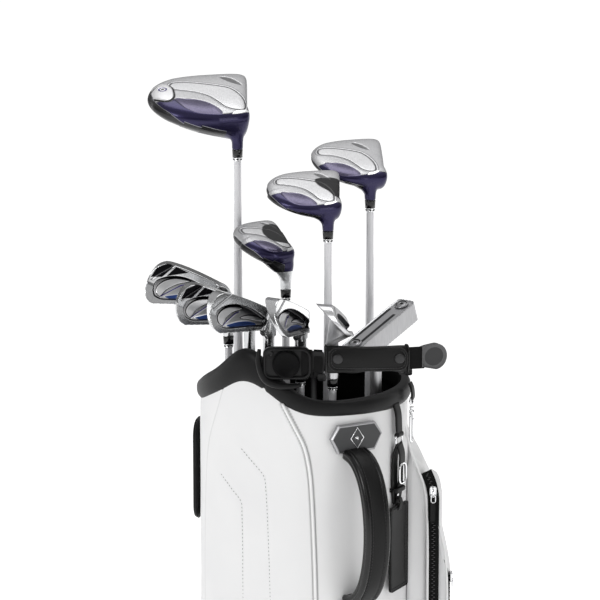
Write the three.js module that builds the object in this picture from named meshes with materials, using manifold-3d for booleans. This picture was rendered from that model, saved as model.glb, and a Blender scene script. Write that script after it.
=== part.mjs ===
// A golf club set: ten clubs standing heads-up in an oval cart bag.
// Millimetres, +Z up, the bag stands on z = 0, its front faces -Y, its ball-pocket side is +X.
import * as THREE from "three";
import { mergeVertices } from "three/addons/utils/BufferGeometryUtils.js";
import Module from "manifold-3d";

const wasm = await Module();
wasm.setup();

// Clearance between pieces that touch.
const GAP = 0.3;

// ---- bag ----
const BAG_HALF_X = 120;
const BAG_HALF_Y = 132;
const OVAL_SIDES = 40;
const WALL = 4;
const BASE_HEIGHT = 60;
const BASE_SEAT = BASE_HEIGHT * 0.35;
const FLOOR_TOP = 14;
const CUFF_TOP = 863;
const CUFF_BOTTOM = 841;
const CUFF_THICK = 15;
const LOBE_ANGLE = 237;
const LOBE_WIDTH = 23;
const LOBE_TOP_RISE = 57;
const LOBE_BOTTOM_RISE = 40;
const DIVIDER_THICK = 3;
const DIVIDER_X = 11.5;
const DIVIDER_Y = -20;
const DIVIDER_TOP = 838;

// ---- clubs ----
const BUTT_Z = FLOOR_TOP + GAP;
const GRIP_LENGTH = 265;
const GRIP_BUTT_R = 13.2;
const GRIP_TIP_R = 9.6;
const BORE_DEPTH = 24;
const FERRULE_HEIGHT = 13;

const PAINT = {
  white_leather: { color: 0xececea, roughness: 0.55, metalness: 0 },
  black_leather: { color: 0x232323, roughness: 0.55, metalness: 0 },
  black_soft: { color: 0x2b2b2b, roughness: 0.7, metalness: 0 },
  grey_plastic: { color: 0x5f5f5f, roughness: 0.6, metalness: 0 },
  black_plastic: { color: 0x161616, roughness: 0.4, metalness: 0 },
  webbing: { color: 0x1c1c1c, roughness: 0.9, metalness: 0 },
  plate_grey: { color: 0x4d4f52, roughness: 0.35, metalness: 0.6 },
  chrome: { color: 0xd5d7da, roughness: 0.12, metalness: 1 },
  satin_steel: { color: 0xb4b7ba, roughness: 0.3, metalness: 1 },
  shaft_silver: { color: 0xdfe1e3, roughness: 0.25, metalness: 0.7 },
  purple_silver: { color: 0x5a5578, roughness: 0.25, metalness: 0.7 },
  grip_rubber: { color: 0x1d1d1f, roughness: 0.85, metalness: 0 },
};

const group = new THREE.Group();
group.name = "golf_club_set";

function add(name, geometry, paint) {
  const mesh = new THREE.Mesh(geometry, new THREE.MeshStandardMaterial(PAINT[paint]));
  mesh.name = name;
  group.add(mesh);
  return mesh;
}

function solid(geometry) {
  const bare = geometry.clone();
  bare.deleteAttribute("normal");
  bare.deleteAttribute("uv");
  const merged = mergeVertices(bare, 1e-4);
  return new wasm.Manifold(
    new wasm.Mesh({
      numProp: 3,
      vertProperties: new Float32Array(merged.attributes.position.array),
      triVerts: new Uint32Array(merged.index.array),
    }),
  );
}

function shell(body) {
  const mesh = body.getMesh();
  const geometry = new THREE.BufferGeometry();
  geometry.setAttribute("position", new THREE.BufferAttribute(new Float32Array(mesh.vertProperties), 3));
  geometry.setIndex(new THREE.BufferAttribute(new Uint32Array(mesh.triVerts), 1));
  return geometry;
}

function reshape(geometry, move) {
  const position = geometry.attributes.position;
  const p = new THREE.Vector3();
  for (let i = 0; i < position.count; i++) {
    p.fromBufferAttribute(position, i);
    move(p);
    position.setXYZ(i, p.x, p.y, p.z);
  }
  return geometry;
}

// A body of revolution about Z from [radius, height] pairs; the profile starts and ends on the axis
// or closes on itself.
function turned(profile, segments) {
  const points = profile.map(([r, z]) => new THREE.Vector2(r, z));
  return new THREE.LatheGeometry(points, segments).rotateX(Math.PI / 2);
}

function rod(radius, z0, z1, segments = 16) {
  return turned([[0, z0], [radius, z0], [radius, z1], [0, z1]], segments);
}

// A tube wall about Z that closes on itself.
function sleeve(profile, segments) {
  return turned([...profile, profile[0]], segments);
}

function roundedShape(width, height, radius) {
  const [x, y] = [width / 2, height / 2];
  const shape = new THREE.Shape();
  shape.moveTo(-x + radius, -y);
  shape.lineTo(x - radius, -y);
  shape.absarc(x - radius, -y + radius, radius, -Math.PI / 2, 0);
  shape.lineTo(x, y - radius);
  shape.absarc(x - radius, y - radius, radius, 0, Math.PI / 2);
  shape.lineTo(-x + radius, y);
  shape.absarc(-x + radius, y - radius, radius, Math.PI / 2, Math.PI);
  shape.lineTo(-x, -y + radius);
  shape.absarc(-x + radius, -y + radius, radius, Math.PI, 1.5 * Math.PI);
  return shape;
}

function slab(shape, depth, bevel = 0, curveSegments = 3) {
  return new THREE.ExtrudeGeometry(shape, {
    depth: depth - 2 * bevel,
    bevelEnabled: bevel > 0,
    bevelSize: bevel,
    bevelOffset: -bevel,
    bevelThickness: bevel,
    bevelSegments: 1,
    curveSegments,
  }).translate(0, 0, bevel);
}

function alongCurve(shape, points, steps, curveSegments = 3) {
  return new THREE.ExtrudeGeometry(shape, {
    steps,
    curveSegments,
    extrudePath: new THREE.CatmullRomCurve3(points, false, "centripetal"),
  });
}

const degrees = THREE.MathUtils.degToRad;

// ---------------------------------------------------------------- the bag

// The point of the oval wall at this angle, moved outward along the wall's own normal.
function ovalPoint(angle, outward) {
  const [c, s] = [Math.cos(angle), Math.sin(angle)];
  const normal = new THREE.Vector2(c / BAG_HALF_X, s / BAG_HALF_Y).normalize();
  return new THREE.Vector2(BAG_HALF_X * c + normal.x * outward, BAG_HALF_Y * s + normal.y * outward);
}

// The oval at this distance outward, as a polygon.
function ovalOutline(outward, count) {
  const points = [];
  for (let i = 0; i < count; i++) points.push(ovalPoint((i / count) * 2 * Math.PI, outward));
  return new THREE.Shape(points);
}

// The collar rises in one broad lobe at the front left, where the strap is fixed.
function lobe(angle, rise) {
  const away = (((THREE.MathUtils.radToDeg(angle) - LOBE_ANGLE) % 360) + 540) % 360 - 180;
  return rise * Math.exp(-((away / LOBE_WIDTH) ** 2));
}

const cuffTop = (angle) => CUFF_TOP + lobe(angle, LOBE_TOP_RISE);
const cuffBottom = (angle) => CUFF_BOTTOM + lobe(angle, LOBE_BOTTOM_RISE);

// A closed oval wall whose rows are [outward, height above the ground or a function of the angle].
function ovalWall(rows, segments) {
  const profile = rows.map(([outward], i) => [10 + outward * 0.001, i]);
  const geometry = sleeve(profile, segments);
  return reshape(geometry, (p) => {
    const angle = Math.atan2(p.y, p.x);
    const [outward, height] = rows[Math.round(p.z)];
    const at = ovalPoint(angle, outward);
    p.set(at.x, at.y, typeof height === "function" ? height(angle) : height);
  });
}

add(
  "bag_body",
  ovalWall(
    [
      [-WALL, BASE_SEAT + GAP],
      [-GAP * 2, BASE_SEAT + GAP],
      [-GAP * 2, BASE_HEIGHT + GAP],
      [1, BASE_HEIGHT + GAP],
      [1, 420],
      [0, (angle) => cuffBottom(angle) - GAP],
      [-WALL, (angle) => cuffBottom(angle) - GAP],
      [-WALL, 420],
    ],
    OVAL_SIDES,
  ),
  "white_leather",
);

function baseTray() {
  const outer = solid(slab(ovalOutline(5, OVAL_SIDES), BASE_HEIGHT, 3));
  const seat = solid(slab(ovalOutline(0, OVAL_SIDES), BASE_HEIGHT).translate(0, 0, BASE_SEAT));
  const well = solid(slab(ovalOutline(-WALL - 3, OVAL_SIDES), BASE_HEIGHT).translate(0, 0, FLOOR_TOP));
  return shell(outer.subtract(seat).subtract(well));
}
add("bag_base", baseTray(), "black_plastic");

function collar() {
  const geometry = new THREE.TorusGeometry(10, 1, 8, OVAL_SIDES);
  return reshape(geometry, (p) => {
    const angle = Math.atan2(p.y, p.x);
    const across = THREE.MathUtils.clamp(Math.hypot(p.x, p.y) - 10, -1, 1);
    const up = THREE.MathUtils.clamp(p.z, -1, 1);
    const at = ovalPoint(angle, 3 - CUFF_THICK / 2 + (across * CUFF_THICK) / 2);
    const [low, high] = [cuffBottom(angle), cuffTop(angle)];
    p.set(at.x, at.y, (low + high) / 2 + (up * (high - low)) / 2);
  });
}
add("bag_cuff", collar(), "black_soft");

function clubDivider() {
  const height = DIVIDER_TOP - FLOOR_TOP - GAP;
  const bar = (x, y, w, d) => solid(new THREE.BoxGeometry(w, d, height).translate(x, y, 0));
  const cross = bar(0, DIVIDER_Y, 2 * BAG_HALF_X, DIVIDER_THICK)
    .add(bar(DIVIDER_X, 0, DIVIDER_THICK, 2 * BAG_HALF_Y))
    .translate([0, 0, FLOOR_TOP + GAP + height / 2]);
  const room = solid(slab(ovalOutline(-CUFF_THICK, OVAL_SIDES), DIVIDER_TOP + 10));
  return shell(cross.intersect(room));
}
add("club_divider", clubDivider(), "black_soft");

// A frame standing on the wall at this angle: x along the wall, y outward, z up.
function onWall(geometry, angleDegrees, height, outward) {
  const angle = degrees(angleDegrees);
  const at = ovalPoint(angle, outward);
  const normal = ovalPoint(angle, 1).sub(ovalPoint(angle, 0));
  const turn = Math.atan2(normal.y, normal.x) - Math.PI / 2;
  return geometry.rotateZ(turn).translate(at.x, at.y, height);
}

const HANDLE_ANGLE = 297;
const HANDLE_TOP = 802;
const HANDLE_BOTTOM = 622;
const HANDLE_REACH = 61;
const HANDLE_END_OUT = 14.5;
const PLATE_HEIGHT = 820;

function hexagon(width, height) {
  const shape = new THREE.Shape();
  const [x, y] = [width / 2, height / 2];
  shape.moveTo(-x, y * 0.1);
  shape.lineTo(-x * 0.72, y);
  shape.lineTo(x * 0.72, y);
  shape.lineTo(x, y * 0.1);
  shape.lineTo(x * 0.72, -y);
  shape.lineTo(-x * 0.72, -y);
  shape.closePath();
  return shape;
}

add(
  "handle_plate",
  onWall(slab(hexagon(64, 32), 6, 1.5).rotateX(-Math.PI / 2), HANDLE_ANGLE, PLATE_HEIGHT, 1.4),
  "plate_grey",
);

function grabHandle() {
  const [low, high] = [HANDLE_BOTTOM, HANDLE_TOP];
  const middle = (low + high) / 2;
  const points = [];
  for (const [out, z] of [
    [HANDLE_END_OUT, high - 7],
    [30, high - 26],
    [HANDLE_REACH - 6, high - 52],
    [HANDLE_REACH, middle],
    [HANDLE_REACH - 6, low + 52],
    [30, low + 26],
    [HANDLE_END_OUT, low + 7],
  ]) {
    points.push(new THREE.Vector3(0, out, z));
  }
  const strap = alongCurve(roundedShape(12, 36, 5), points, 14);
  return onWall(strap, HANDLE_ANGLE, 0, 0);
}
add("grab_handle", grabHandle(), "black_leather");

// ---- the strap across the mouth, a shallow arc seen from above ----
const STRAP_LOW = 900;
const STRAP_HIGH = 931;
const STRAP_FALL = 0.06;
const STRAP_FRONT = -133;
const STRAP_BEND = 0.002;

function strapLine(x) {
  const run = Math.max(0, x);
  return STRAP_FRONT + STRAP_BEND * run * run;
}

function strapBand(x0, x1, front, back, steps) {
  const shape = new THREE.Shape();
  for (let i = 0; i <= steps; i++) {
    const x = x0 + ((x1 - x0) * i) / steps;
    if (i === 0) shape.moveTo(x, strapLine(x) + front);
    else shape.lineTo(x, strapLine(x) + front);
  }
  for (let i = steps; i >= 0; i--) {
    const x = x0 + ((x1 - x0) * i) / steps;
    shape.lineTo(x, strapLine(x) + back);
  }
  shape.closePath();
  return shape;
}

const strapDrop = (x) => -STRAP_FALL * Math.max(0, x);

function band(x0, x1, z0, z1, front, back, bevel, steps) {
  const straight = slab(strapBand(x0, x1, front, back, steps), z1 - z0, bevel).translate(0, 0, z0);
  return reshape(straight, (p) => p.setZ(p.z + strapDrop(p.x)));
}

const anchor = solid(band(-46, 8, STRAP_LOW - 10, STRAP_HIGH - 3, -5, 5, 2, 2));
const anchorTongue = solid(band(0, 22, STRAP_LOW + 1, STRAP_HIGH - 4, -4, 0, 0, 2));
add("strap_anchor", shell(anchor.add(anchorTongue)), "black_plastic");
add("strap_sleeve", band(22 + GAP, 117, STRAP_LOW, STRAP_HIGH, -5, 6, 3, 6), "black_leather");
add("strap_webbing_right", band(117 + GAP, 131, STRAP_LOW + 4, STRAP_HIGH - 2, -3, 1, 0, 2), "webbing");

// A small turned disc that faces the viewer from the strap at this x.
function strapDisc(x, z, front, profile, segments = 20) {
  const slope = Math.atan(2 * STRAP_BEND * Math.max(0, x));
  return turned(profile, segments)
    .rotateX(Math.PI / 2)
    .rotateZ(slope)
    .translate(x - front * Math.sin(slope), strapLine(x) + front * Math.cos(slope), z + strapDrop(x));
}

const dished = (r, thick, dish) => [
  [0, 0],
  [r, 0],
  [r, thick * 0.5],
  [r - 1.5, thick],
  [r * 0.72, thick],
  [r * 0.45, thick - dish],
  [0, thick - dish],
];
add("strap_magnet_left", strapDisc(-21, 909, -5 - GAP, dished(15.5, 4, 2)), "black_plastic");
const snap = [[0, 0], [5.4, 0], [4.6, 3.4], [0, 3.8]];
let flap = solid(band(26, 114, STRAP_LOW + 3, STRAP_HIGH - 2, -7.5, -5 - GAP, 0, 6));
for (const x of [36, 105]) flap = flap.add(solid(strapDisc(x, 917, -5.5, snap, 16)));
add("strap_flap", shell(flap), "black_leather");

function strapTab() {
  const shape = new THREE.Shape();
  shape.moveTo(0, -11);
  shape.lineTo(16, -15);
  shape.absarc(17, 0, 15, -Math.PI / 2, Math.PI / 2);
  shape.lineTo(0, 13);
  shape.closePath();
  const plate = solid(slab(shape, 7, 1.5, 8));
  const dish = solid(new THREE.CylinderGeometry(11, 9, 5, 20).rotateX(Math.PI / 2).translate(16.5, 0, 6.5));
  const x = 131 + GAP;
  return shell(plate.subtract(dish))
    .rotateX(Math.PI / 2)
    .rotateZ(Math.atan(2 * STRAP_BEND * x))
    .translate(x, strapLine(x) + 2, 916 + strapDrop(x));
}
add("strap_tab_right", strapTab(), "grey_plastic");

// ---- luggage tag on the right-front wall ----
const TAG_ANGLE = 328;
add(
  "tag_hanger",
  onWall(slab(roundedShape(9, 26, 3), 3, 0.8).rotateX(-Math.PI / 2), TAG_ANGLE, 830, 5.5),
  "black_leather",
);
const ring = new THREE.TorusGeometry(7, 1.2, 6, 16).rotateX(Math.PI / 2);
add("tag_ring", onWall(ring, TAG_ANGLE, 808, 7), "chrome");

function tagStrap() {
  const outer = solid(slab(roundedShape(15, 62, 7), 3, 0.6, 6));
  const eye = solid(slab(roundedShape(8, 40, 4), 6, 0, 6).translate(0, 3, -1));
  const buckle = solid(slab(roundedShape(17, 20, 4), 2.4, 0, 4).translate(0, 0, 2));
  return onWall(shell(outer.add(buckle).subtract(eye)).rotateX(-Math.PI / 2), TAG_ANGLE, 768, 5);
}
add("tag_strap", tagStrap(), "black_leather");
add(
  "luggage_tag",
  onWall(slab(roundedShape(46, 102, 3), 3.6, 0.8).rotateX(-Math.PI / 2), TAG_ANGLE, 680, 5),
  "black_leather",
);

// ---- accessory clip hanging at the right end of the cuff ----
function snapHook() {
  const frame = solid(slab(roundedShape(13, 48, 6), 3.6, 0.8, 6));
  const eye = solid(slab(roundedShape(6, 32, 3), 8, 0, 6).translate(0, 2, -2));
  const loop = solid(slab(roundedShape(10, 24, 4), 3.6, 0.8, 6).translate(0, 33, 0));
  return onWall(shell(frame.subtract(eye).add(loop)).rotateX(-Math.PI / 2), 340, 821, 9);
}
add("snap_hook", snapHook(), "chrome");

// ---- pockets on the right side ----
// A pocket seen from the front: its outer edge leaves the wall on a slope at the top and bottom.
function pocket(halfWidth, reach, z0, z1, slopeTop, slopeBottom, bevel) {
  const shape = new THREE.Shape();
  shape.moveTo(0, z0);
  shape.lineTo(reach, z0 + slopeBottom);
  shape.lineTo(reach, z1 - slopeTop);
  shape.lineTo(0, z1);
  shape.closePath();
  return slab(shape, 2 * halfWidth, bevel).rotateX(Math.PI / 2).translate(0, halfWidth, 0);
}
// Takes the bag's wall, with a working gap, out of a soft solid that leans on it.
function offTheWall(geometry, outward) {
  const wall = solid(slab(ovalOutline(outward, 2 * OVAL_SIDES), CUFF_TOP));
  return solid(geometry).subtract(wall);
}

const POCKET_REACH = 24;
const POCKET_Y = 12;
function sidePocket() {
  const box = pocket(47, POCKET_REACH + 24, 90, 836, 100, 30, 4).translate(BAG_HALF_X - 24, POCKET_Y, 0);
  return shell(offTheWall(box, 1 + GAP * 2));
}
add("side_pocket", sidePocket(), "white_leather");

const GUSSET_X = BAG_HALF_X + POCKET_REACH + GAP;
const gusset = solid(pocket(42, 12, 110, 748, 8, 8, 0).translate(GUSSET_X, POCKET_Y, 0));
const outerPocket = solid(pocket(45, 13, 105, 700, 60, 20, 3).translate(GUSSET_X + 9, POCKET_Y, 0));
add("outer_pocket", shell(gusset.add(outerPocket)), "white_leather");

const slider = solid(slab(roundedShape(7, 14, 2), 3, 0.6));
const puller = solid(slab(roundedShape(5, 34, 2), 2.4, 0.5).translate(0, -22, 0.3));
add(
  "zip_slider",
  shell(slider.add(puller)).rotateX(Math.PI / 2).translate(GUSSET_X + 4.5, POCKET_Y - 42 - GAP, 734),
  "chrome",
);

// ---- shoulder strap pad on the left wall ----
add(
  "shoulder_pad",
  onWall(slab(roundedShape(54, 124, 20), 5, 2).rotateX(-Math.PI / 2), 168, 748, 1.6),
  "black_soft",
);

// ---------------------------------------------------------------- the clubs

// Three directions of a head on an upright shaft: toe, back of the head, and sole, which looks up.
function headFrame(lift, turn) {
  const [l, a] = [degrees(lift), degrees(turn)];
  const level = new THREE.Vector3(-Math.cos(a), Math.sin(a), 0);
  const toe = level.clone().multiplyScalar(Math.cos(l)).add(new THREE.Vector3(0, 0, Math.sin(l)));
  const back = new THREE.Vector3(-Math.sin(a), -Math.cos(a), 0);
  const sole = new THREE.Vector3().crossVectors(back, toe);
  if (sole.z < 0) sole.negate();
  return new THREE.Matrix4().makeBasis(toe, back, sole);
}

// A right-handed basis may need the winding turned over when the frame mirrors the mesh.
function placed(geometry, frame, x, y, z) {
  geometry.applyMatrix4(frame);
  if (frame.determinant() < 0) {
    const index = geometry.index.array;
    for (let i = 0; i < index.length; i += 3) [index[i], index[i + 1]] = [index[i + 1], index[i]];
  }
  return geometry.translate(x, y, z);
}

function indexed(geometry) {
  const bare = geometry.clone();
  bare.deleteAttribute("normal");
  bare.deleteAttribute("uv");
  return mergeVertices(bare, 1e-4);
}

// Each wood has its shaft's place, the height of its hosel's end, its head's length to the toe, depth
// to the back, crown and sole bulge, the toe's lift and turn about the shaft, and its shaft tip.
const woods = {
  driver: {
    ...{ x: -77, y: 63.1, hosel: 1118, tip: 4.4, lift: 20, turn: 68 },
    ...{ toe: 116, back: 110, crown: 42, sole: 15, inset: 0.22, neck: 0 },
  },
  five_wood: {
    ...{ x: 76, y: 22, hosel: 1066, tip: 4.3, lift: 20, turn: 66 },
    ...{ toe: 92, back: 78, crown: 26, sole: 10, inset: 0.16, neck: 0 },
  },
  seven_wood: {
    ...{ x: 27, y: -61, hosel: 1046, tip: 4.3, lift: 20, turn: 70 },
    ...{ toe: 88, back: 80, crown: 26, sole: 10, inset: 0.16, neck: 0 },
  },
  hybrid: {
    ...{ x: -21, y: 7.5, hosel: 964, tip: 4.4, lift: 20, turn: 50 },
    ...{ toe: 82, back: 56, crown: 29, sole: 12, inset: 0.16, neck: 12 },
  },
};

function woodHead(club) {
  const face = 0.62;
  const ball = indexed(new THREE.SphereGeometry(1, 22, 12).rotateX(Math.PI / 2));
  reshape(ball, (p) => {
    const q = p.y < 0 ? -face * (1 - (1 + p.y) ** 2.2) : p.y;
    const thin = 1 - 0.62 * THREE.MathUtils.clamp((q + face) / (1 + face), 0, 1);
    const rise = p.z > 0 ? club.sole * (1 - (1 - p.z) ** 1.7) : club.crown * p.z * thin;
    const narrow = 1 - 0.12 * Math.max(0, q);
    p.set((p.x * narrow * club.toe) / 2, (q * club.back) / (1 + face), rise);
  });
  const heel = 0.36 * club.toe;
  const depth = club.inset * club.back;
  ball.translate(heel, depth, 0);
  const frame = headFrame(club.lift, club.turn);
  const middle = club.hosel + club.crown * 0.62 + 12 + club.neck;
  const head = solid(placed(ball, frame, club.x, club.y, middle));
  const profile = [[0, club.hosel], [6.3, club.hosel], [6.8, club.hosel + 10], [11, middle - 6], [0, middle]];
  const neck = solid(turned(profile, 18).translate(club.x, club.y, 0));
  return shell(head.add(neck).subtract(hoselBore(club)));
}

// The irons fan out: the toes turn step by step towards the front, and the loft grows.
const irons = {
  iron_six: { x: -87, y: -1, hosel: 911, reach: 60, loft: 26, lift: 24, turn: 0, tip: 4.5 },
  iron_seven: { x: -62, y: -40, hosel: 903, reach: 56, loft: 29, lift: 24, turn: -18, tip: 4.5 },
  iron_eight: { x: -40, y: -82, hosel: 897, reach: 64, loft: 33, lift: 24, turn: -32, tip: 4.5 },
  iron_nine: { x: -4, y: -94, hosel: 888, reach: 72, loft: 38, lift: 24, turn: -56, tip: 4.5 },
  wedge: { x: 32, y: -92, hosel: 882, reach: 69, loft: 50, lift: 26, turn: -72, tip: 4.5 },
};

const BLADE_LENGTH = 90;
const BLADE_TOE_HEIGHT = 55;
const BLADE_HEEL_HEIGHT = 31;
const SOLE_WIDTH = 20;
const TOPLINE_WIDTH = 7;

// The blade on its face plane: x from the shaft's axis to the toe, sole along the top, topline below.
function bladeOutline() {
  const [length, height, heel] = [BLADE_LENGTH, BLADE_TOE_HEIGHT, BLADE_HEEL_HEIGHT];
  const shape = new THREE.Shape();
  shape.moveTo(4, -1);
  shape.quadraticCurveTo(length * 0.5, 3, length - 20, -1);
  shape.bezierCurveTo(length - 5, -3, length + 1, -height * 0.4, length - 3, -height * 0.72);
  shape.quadraticCurveTo(length - 6, -height, length - 17, -height);
  shape.lineTo(12, -heel);
  shape.quadraticCurveTo(2, -heel + 4, -8, -heel - 1);
  shape.lineTo(-19, -heel + 5);
  shape.quadraticCurveTo(-11, -6, 4, -1);
  return shape;
}

// The recess behind the face: the blade's outline drawn in by a wide sole bar and a thin topline.
function cavityOutline() {
  const [length, height, heel] = [BLADE_LENGTH, BLADE_TOE_HEIGHT, BLADE_HEEL_HEIGHT];
  const shape = new THREE.Shape();
  shape.moveTo(18, -15);
  shape.quadraticCurveTo(length * 0.5, -12, length - 22, -14);
  shape.quadraticCurveTo(length - 9, -16, length - 10, -height * 0.68);
  shape.quadraticCurveTo(length - 12, -height + 7, length - 20, -height + 6);
  shape.lineTo(22, -heel + 4);
  shape.closePath();
  return shape;
}

// Gives an outline its thickness and leans it back by the loft; layers count from the face at 0 to
// the back at 1.
function loftedBlade(outline, from, to, loft) {
  const blade = indexed(
    new THREE.ExtrudeGeometry(outline, { depth: to - from, bevelEnabled: false, curveSegments: 4 }),
  ).translate(0, 0, from);
  const [lean, rise] = [Math.sin(degrees(loft)), Math.cos(degrees(loft))];
  return reshape(blade, (p) => {
    const down = Math.max(0, -p.y);
    const thinning = Math.min(1, (down * 1.6) / BLADE_TOE_HEIGHT);
    const width = THREE.MathUtils.lerp(SOLE_WIDTH, TOPLINE_WIDTH, thinning);
    const atHosel = THREE.MathUtils.smoothstep(-p.x, -14, 6);
    const leaning = down * lean * (1 - atHosel) - 5.5 * atHosel;
    const dropping = THREE.MathUtils.lerp(rise, 1, atHosel);
    p.set(p.x, leaning + p.z * THREE.MathUtils.lerp(width, 11, atHosel), p.y * dropping);
  });
}

// Turns every face over, for a shape whose two drawing axes were exchanged.
function turnedOver(geometry) {
  const index = geometry.index.array;
  for (let i = 0; i < index.length; i += 3) [index[i], index[i + 1]] = [index[i + 1], index[i]];
  return geometry;
}

function ironHead(club) {
  const frame = headFrame(club.lift, club.turn);
  const top = club.hosel + club.reach;
  const place = (geometry) => solid(placed(turnedOver(geometry), frame, club.x, club.y, top));
  const blade = place(loftedBlade(bladeOutline(), 0, 1, club.loft));
  const cavity = place(loftedBlade(cavityOutline(), 0.45, 1.6, club.loft));
  const root = club.hosel;
  const profile = [[0, root], [6.4, root], [6.8, top - 30], [6.4, top - 16], [3, top - 10], [0, top - 10]];
  const hosel = solid(turned(profile, 16).translate(club.x, club.y, 0));
  return shell(blade.subtract(cavity).add(hosel).subtract(hoselBore(club)));
}

const putter = { x: 82, y: -45, hosel: 846, tip: 4.5 };

// The hole in a head's hosel that the shaft's tip stands in.
function hoselBore(club) {
  const [low, high] = [club.hosel - 1, club.hosel + BORE_DEPTH];
  return solid(rod(club.tip + GAP, low, high).translate(club.x, club.y, 0));
}

function putterHead() {
  const [length, height, depth] = [112, 24, 26];
  const frame = headFrame(20, 130);
  const z = putter.hosel + 78;
  const body = indexed(slab(roundedShape(length, depth, 6), height, 2, 4));
  const grooves = [-5, 3].map((y) => new THREE.BoxGeometry(length - 44, 2, 3).translate(6, y, height - 1));
  const place = (geometry) =>
    placed(indexed(geometry).translate(3, -4, -height / 2), frame, putter.x, putter.y, z);
  let block = solid(place(body));
  for (const groove of grooves) block = block.subtract(solid(place(groove)));
  const profile = [[0, putter.hosel], [6.6, putter.hosel], [6.6, z - 6], [0, z - 4]];
  const hosel = solid(turned(profile, 18).translate(putter.x, putter.y, 0));
  return shell(block.add(hosel).subtract(hoselBore(putter)));
}

const GRIP_CORE_BUTT_R = 7.4;
const GRIP_CORE_TIP_R = 7.2;
const BUTT_CAP = 4;

// The shaft: parallel in the grip, then tapering to the tip that is held in the head's bore.
function shaft(club) {
  const [butt, gripEnd] = [BUTT_Z + BUTT_CAP + GAP, BUTT_Z + GRIP_LENGTH];
  const end = club.hosel + BORE_DEPTH - 1;
  const profile = [
    [0, butt],
    [GRIP_CORE_BUTT_R, butt],
    [GRIP_CORE_TIP_R, gripEnd],
    [6.4, club.hosel - 420],
    [club.tip, club.hosel - 60],
    [club.tip, end],
    [0, end],
  ];
  return turned(profile, 12).translate(club.x, club.y, 0);
}

// The grip: a tapered rubber sleeve with a closed butt.
function grip(club) {
  const [cap, gripEnd] = [BUTT_Z + BUTT_CAP, BUTT_Z + GRIP_LENGTH];
  const outer = [
    [0, BUTT_Z],
    [GRIP_BUTT_R - 1.5, BUTT_Z],
    [GRIP_BUTT_R, BUTT_Z + 2],
    [GRIP_TIP_R, gripEnd],
    [0, gripEnd],
  ];
  const inner = [
    [0, cap],
    [GRIP_CORE_BUTT_R + GAP, cap],
    [GRIP_CORE_TIP_R + GAP, gripEnd],
    [GRIP_CORE_TIP_R + GAP, gripEnd + 5],
    [0, gripEnd + 5],
  ];
  return shell(solid(turned(outer, 14)).subtract(solid(turned(inner, 14)))).translate(club.x, club.y, 0);
}

// The ferrule: a tapered collar below the hosel's end.
function ferrule(club) {
  const [top, bore] = [club.hosel - GAP, club.tip + GAP];
  const foot = top - FERRULE_HEIGHT;
  return sleeve([[bore, foot], [5.4, foot], [6.3, top], [bore, top]], 14).translate(club.x, club.y, 0);
}

for (const [name, club] of Object.entries(woods)) add(`${name}_head`, woodHead(club), "purple_silver");
for (const [name, club] of Object.entries(irons)) add(`${name}_head`, ironHead(club), "chrome");
add("putter_head", putterHead(), "satin_steel");
for (const [name, club] of Object.entries({ ...woods, ...irons })) {
  add(`${name}_shaft`, shaft(club), "shaft_silver");
  add(`${name}_grip`, grip(club), "grip_rubber");
  add(`${name}_ferrule`, ferrule(club), "black_plastic");
}
add("putter_shaft", shaft(putter), "chrome");
add("putter_grip", grip(putter), "grip_rubber");

export default group;
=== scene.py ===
"""Looks of a golf club set in a cart bag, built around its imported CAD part.

Metres, +Z up, the bag's front faces -Y and its ball pocket is on the +X side. Shape functions work
in millimetres, as the part's own dimensions do, and become metres when a piece is made.
"""

import math

import bmesh
import bpy
import numpy as np
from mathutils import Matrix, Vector, geometry, noise

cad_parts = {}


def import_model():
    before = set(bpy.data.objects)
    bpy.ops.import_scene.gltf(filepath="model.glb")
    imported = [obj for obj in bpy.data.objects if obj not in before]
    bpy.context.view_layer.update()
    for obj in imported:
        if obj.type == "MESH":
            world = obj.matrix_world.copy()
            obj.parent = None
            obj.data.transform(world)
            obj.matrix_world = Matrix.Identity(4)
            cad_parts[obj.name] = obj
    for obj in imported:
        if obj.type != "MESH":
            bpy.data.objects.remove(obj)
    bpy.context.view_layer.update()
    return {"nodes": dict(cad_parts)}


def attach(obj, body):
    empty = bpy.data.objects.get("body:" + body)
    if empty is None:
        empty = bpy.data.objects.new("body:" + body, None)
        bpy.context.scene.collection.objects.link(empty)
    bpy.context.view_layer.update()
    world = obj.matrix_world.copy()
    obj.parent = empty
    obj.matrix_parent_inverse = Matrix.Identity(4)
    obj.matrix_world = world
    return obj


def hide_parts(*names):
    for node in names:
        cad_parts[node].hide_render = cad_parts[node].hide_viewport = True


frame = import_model()
scene = bpy.context.scene

MM = 0.001
GAP = 0.3

# ---------------------------------------------------------------- camera, floor and light

AIM = Vector((-0.0046, 0.0, 0.953))
FLOOR_GLOW, DOME_STRENGTH = 0.58, 0.6
# The dome's greys, as [share of the way up, grey].
DOME = [(0.0, 0.9), (0.03, 0.22), (0.3, 0.34), (0.62, 1.0)]
CAMERA_DISTANCE = 4.0
CAMERA_ELEVATION = math.radians(12)
LENS = 208.7


def make_camera():
    camera = bpy.data.objects.new("camera", bpy.data.cameras.new("camera"))
    scene.collection.objects.link(camera)
    back = Vector((0, -math.cos(CAMERA_ELEVATION), math.sin(CAMERA_ELEVATION)))
    camera.location = AIM + CAMERA_DISTANCE * back
    camera.rotation_euler = (math.pi / 2 - CAMERA_ELEVATION, 0, 0)
    camera.data.lens = LENS
    camera.data.sensor_width = 36
    camera.data.clip_end = 100
    scene.camera = camera


def softbox(name, place, target, size, power):
    light = bpy.data.lights.new(name, "AREA")
    light.shape = "RECTANGLE"
    light.size, light.size_y = size
    light.energy = power
    lamp = bpy.data.objects.new(name, light)
    scene.collection.objects.link(lamp)
    lamp.location = place
    lamp.rotation_euler = (Vector(target) - Vector(place)).to_track_quat("-Z", "Y").to_euler()


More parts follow.
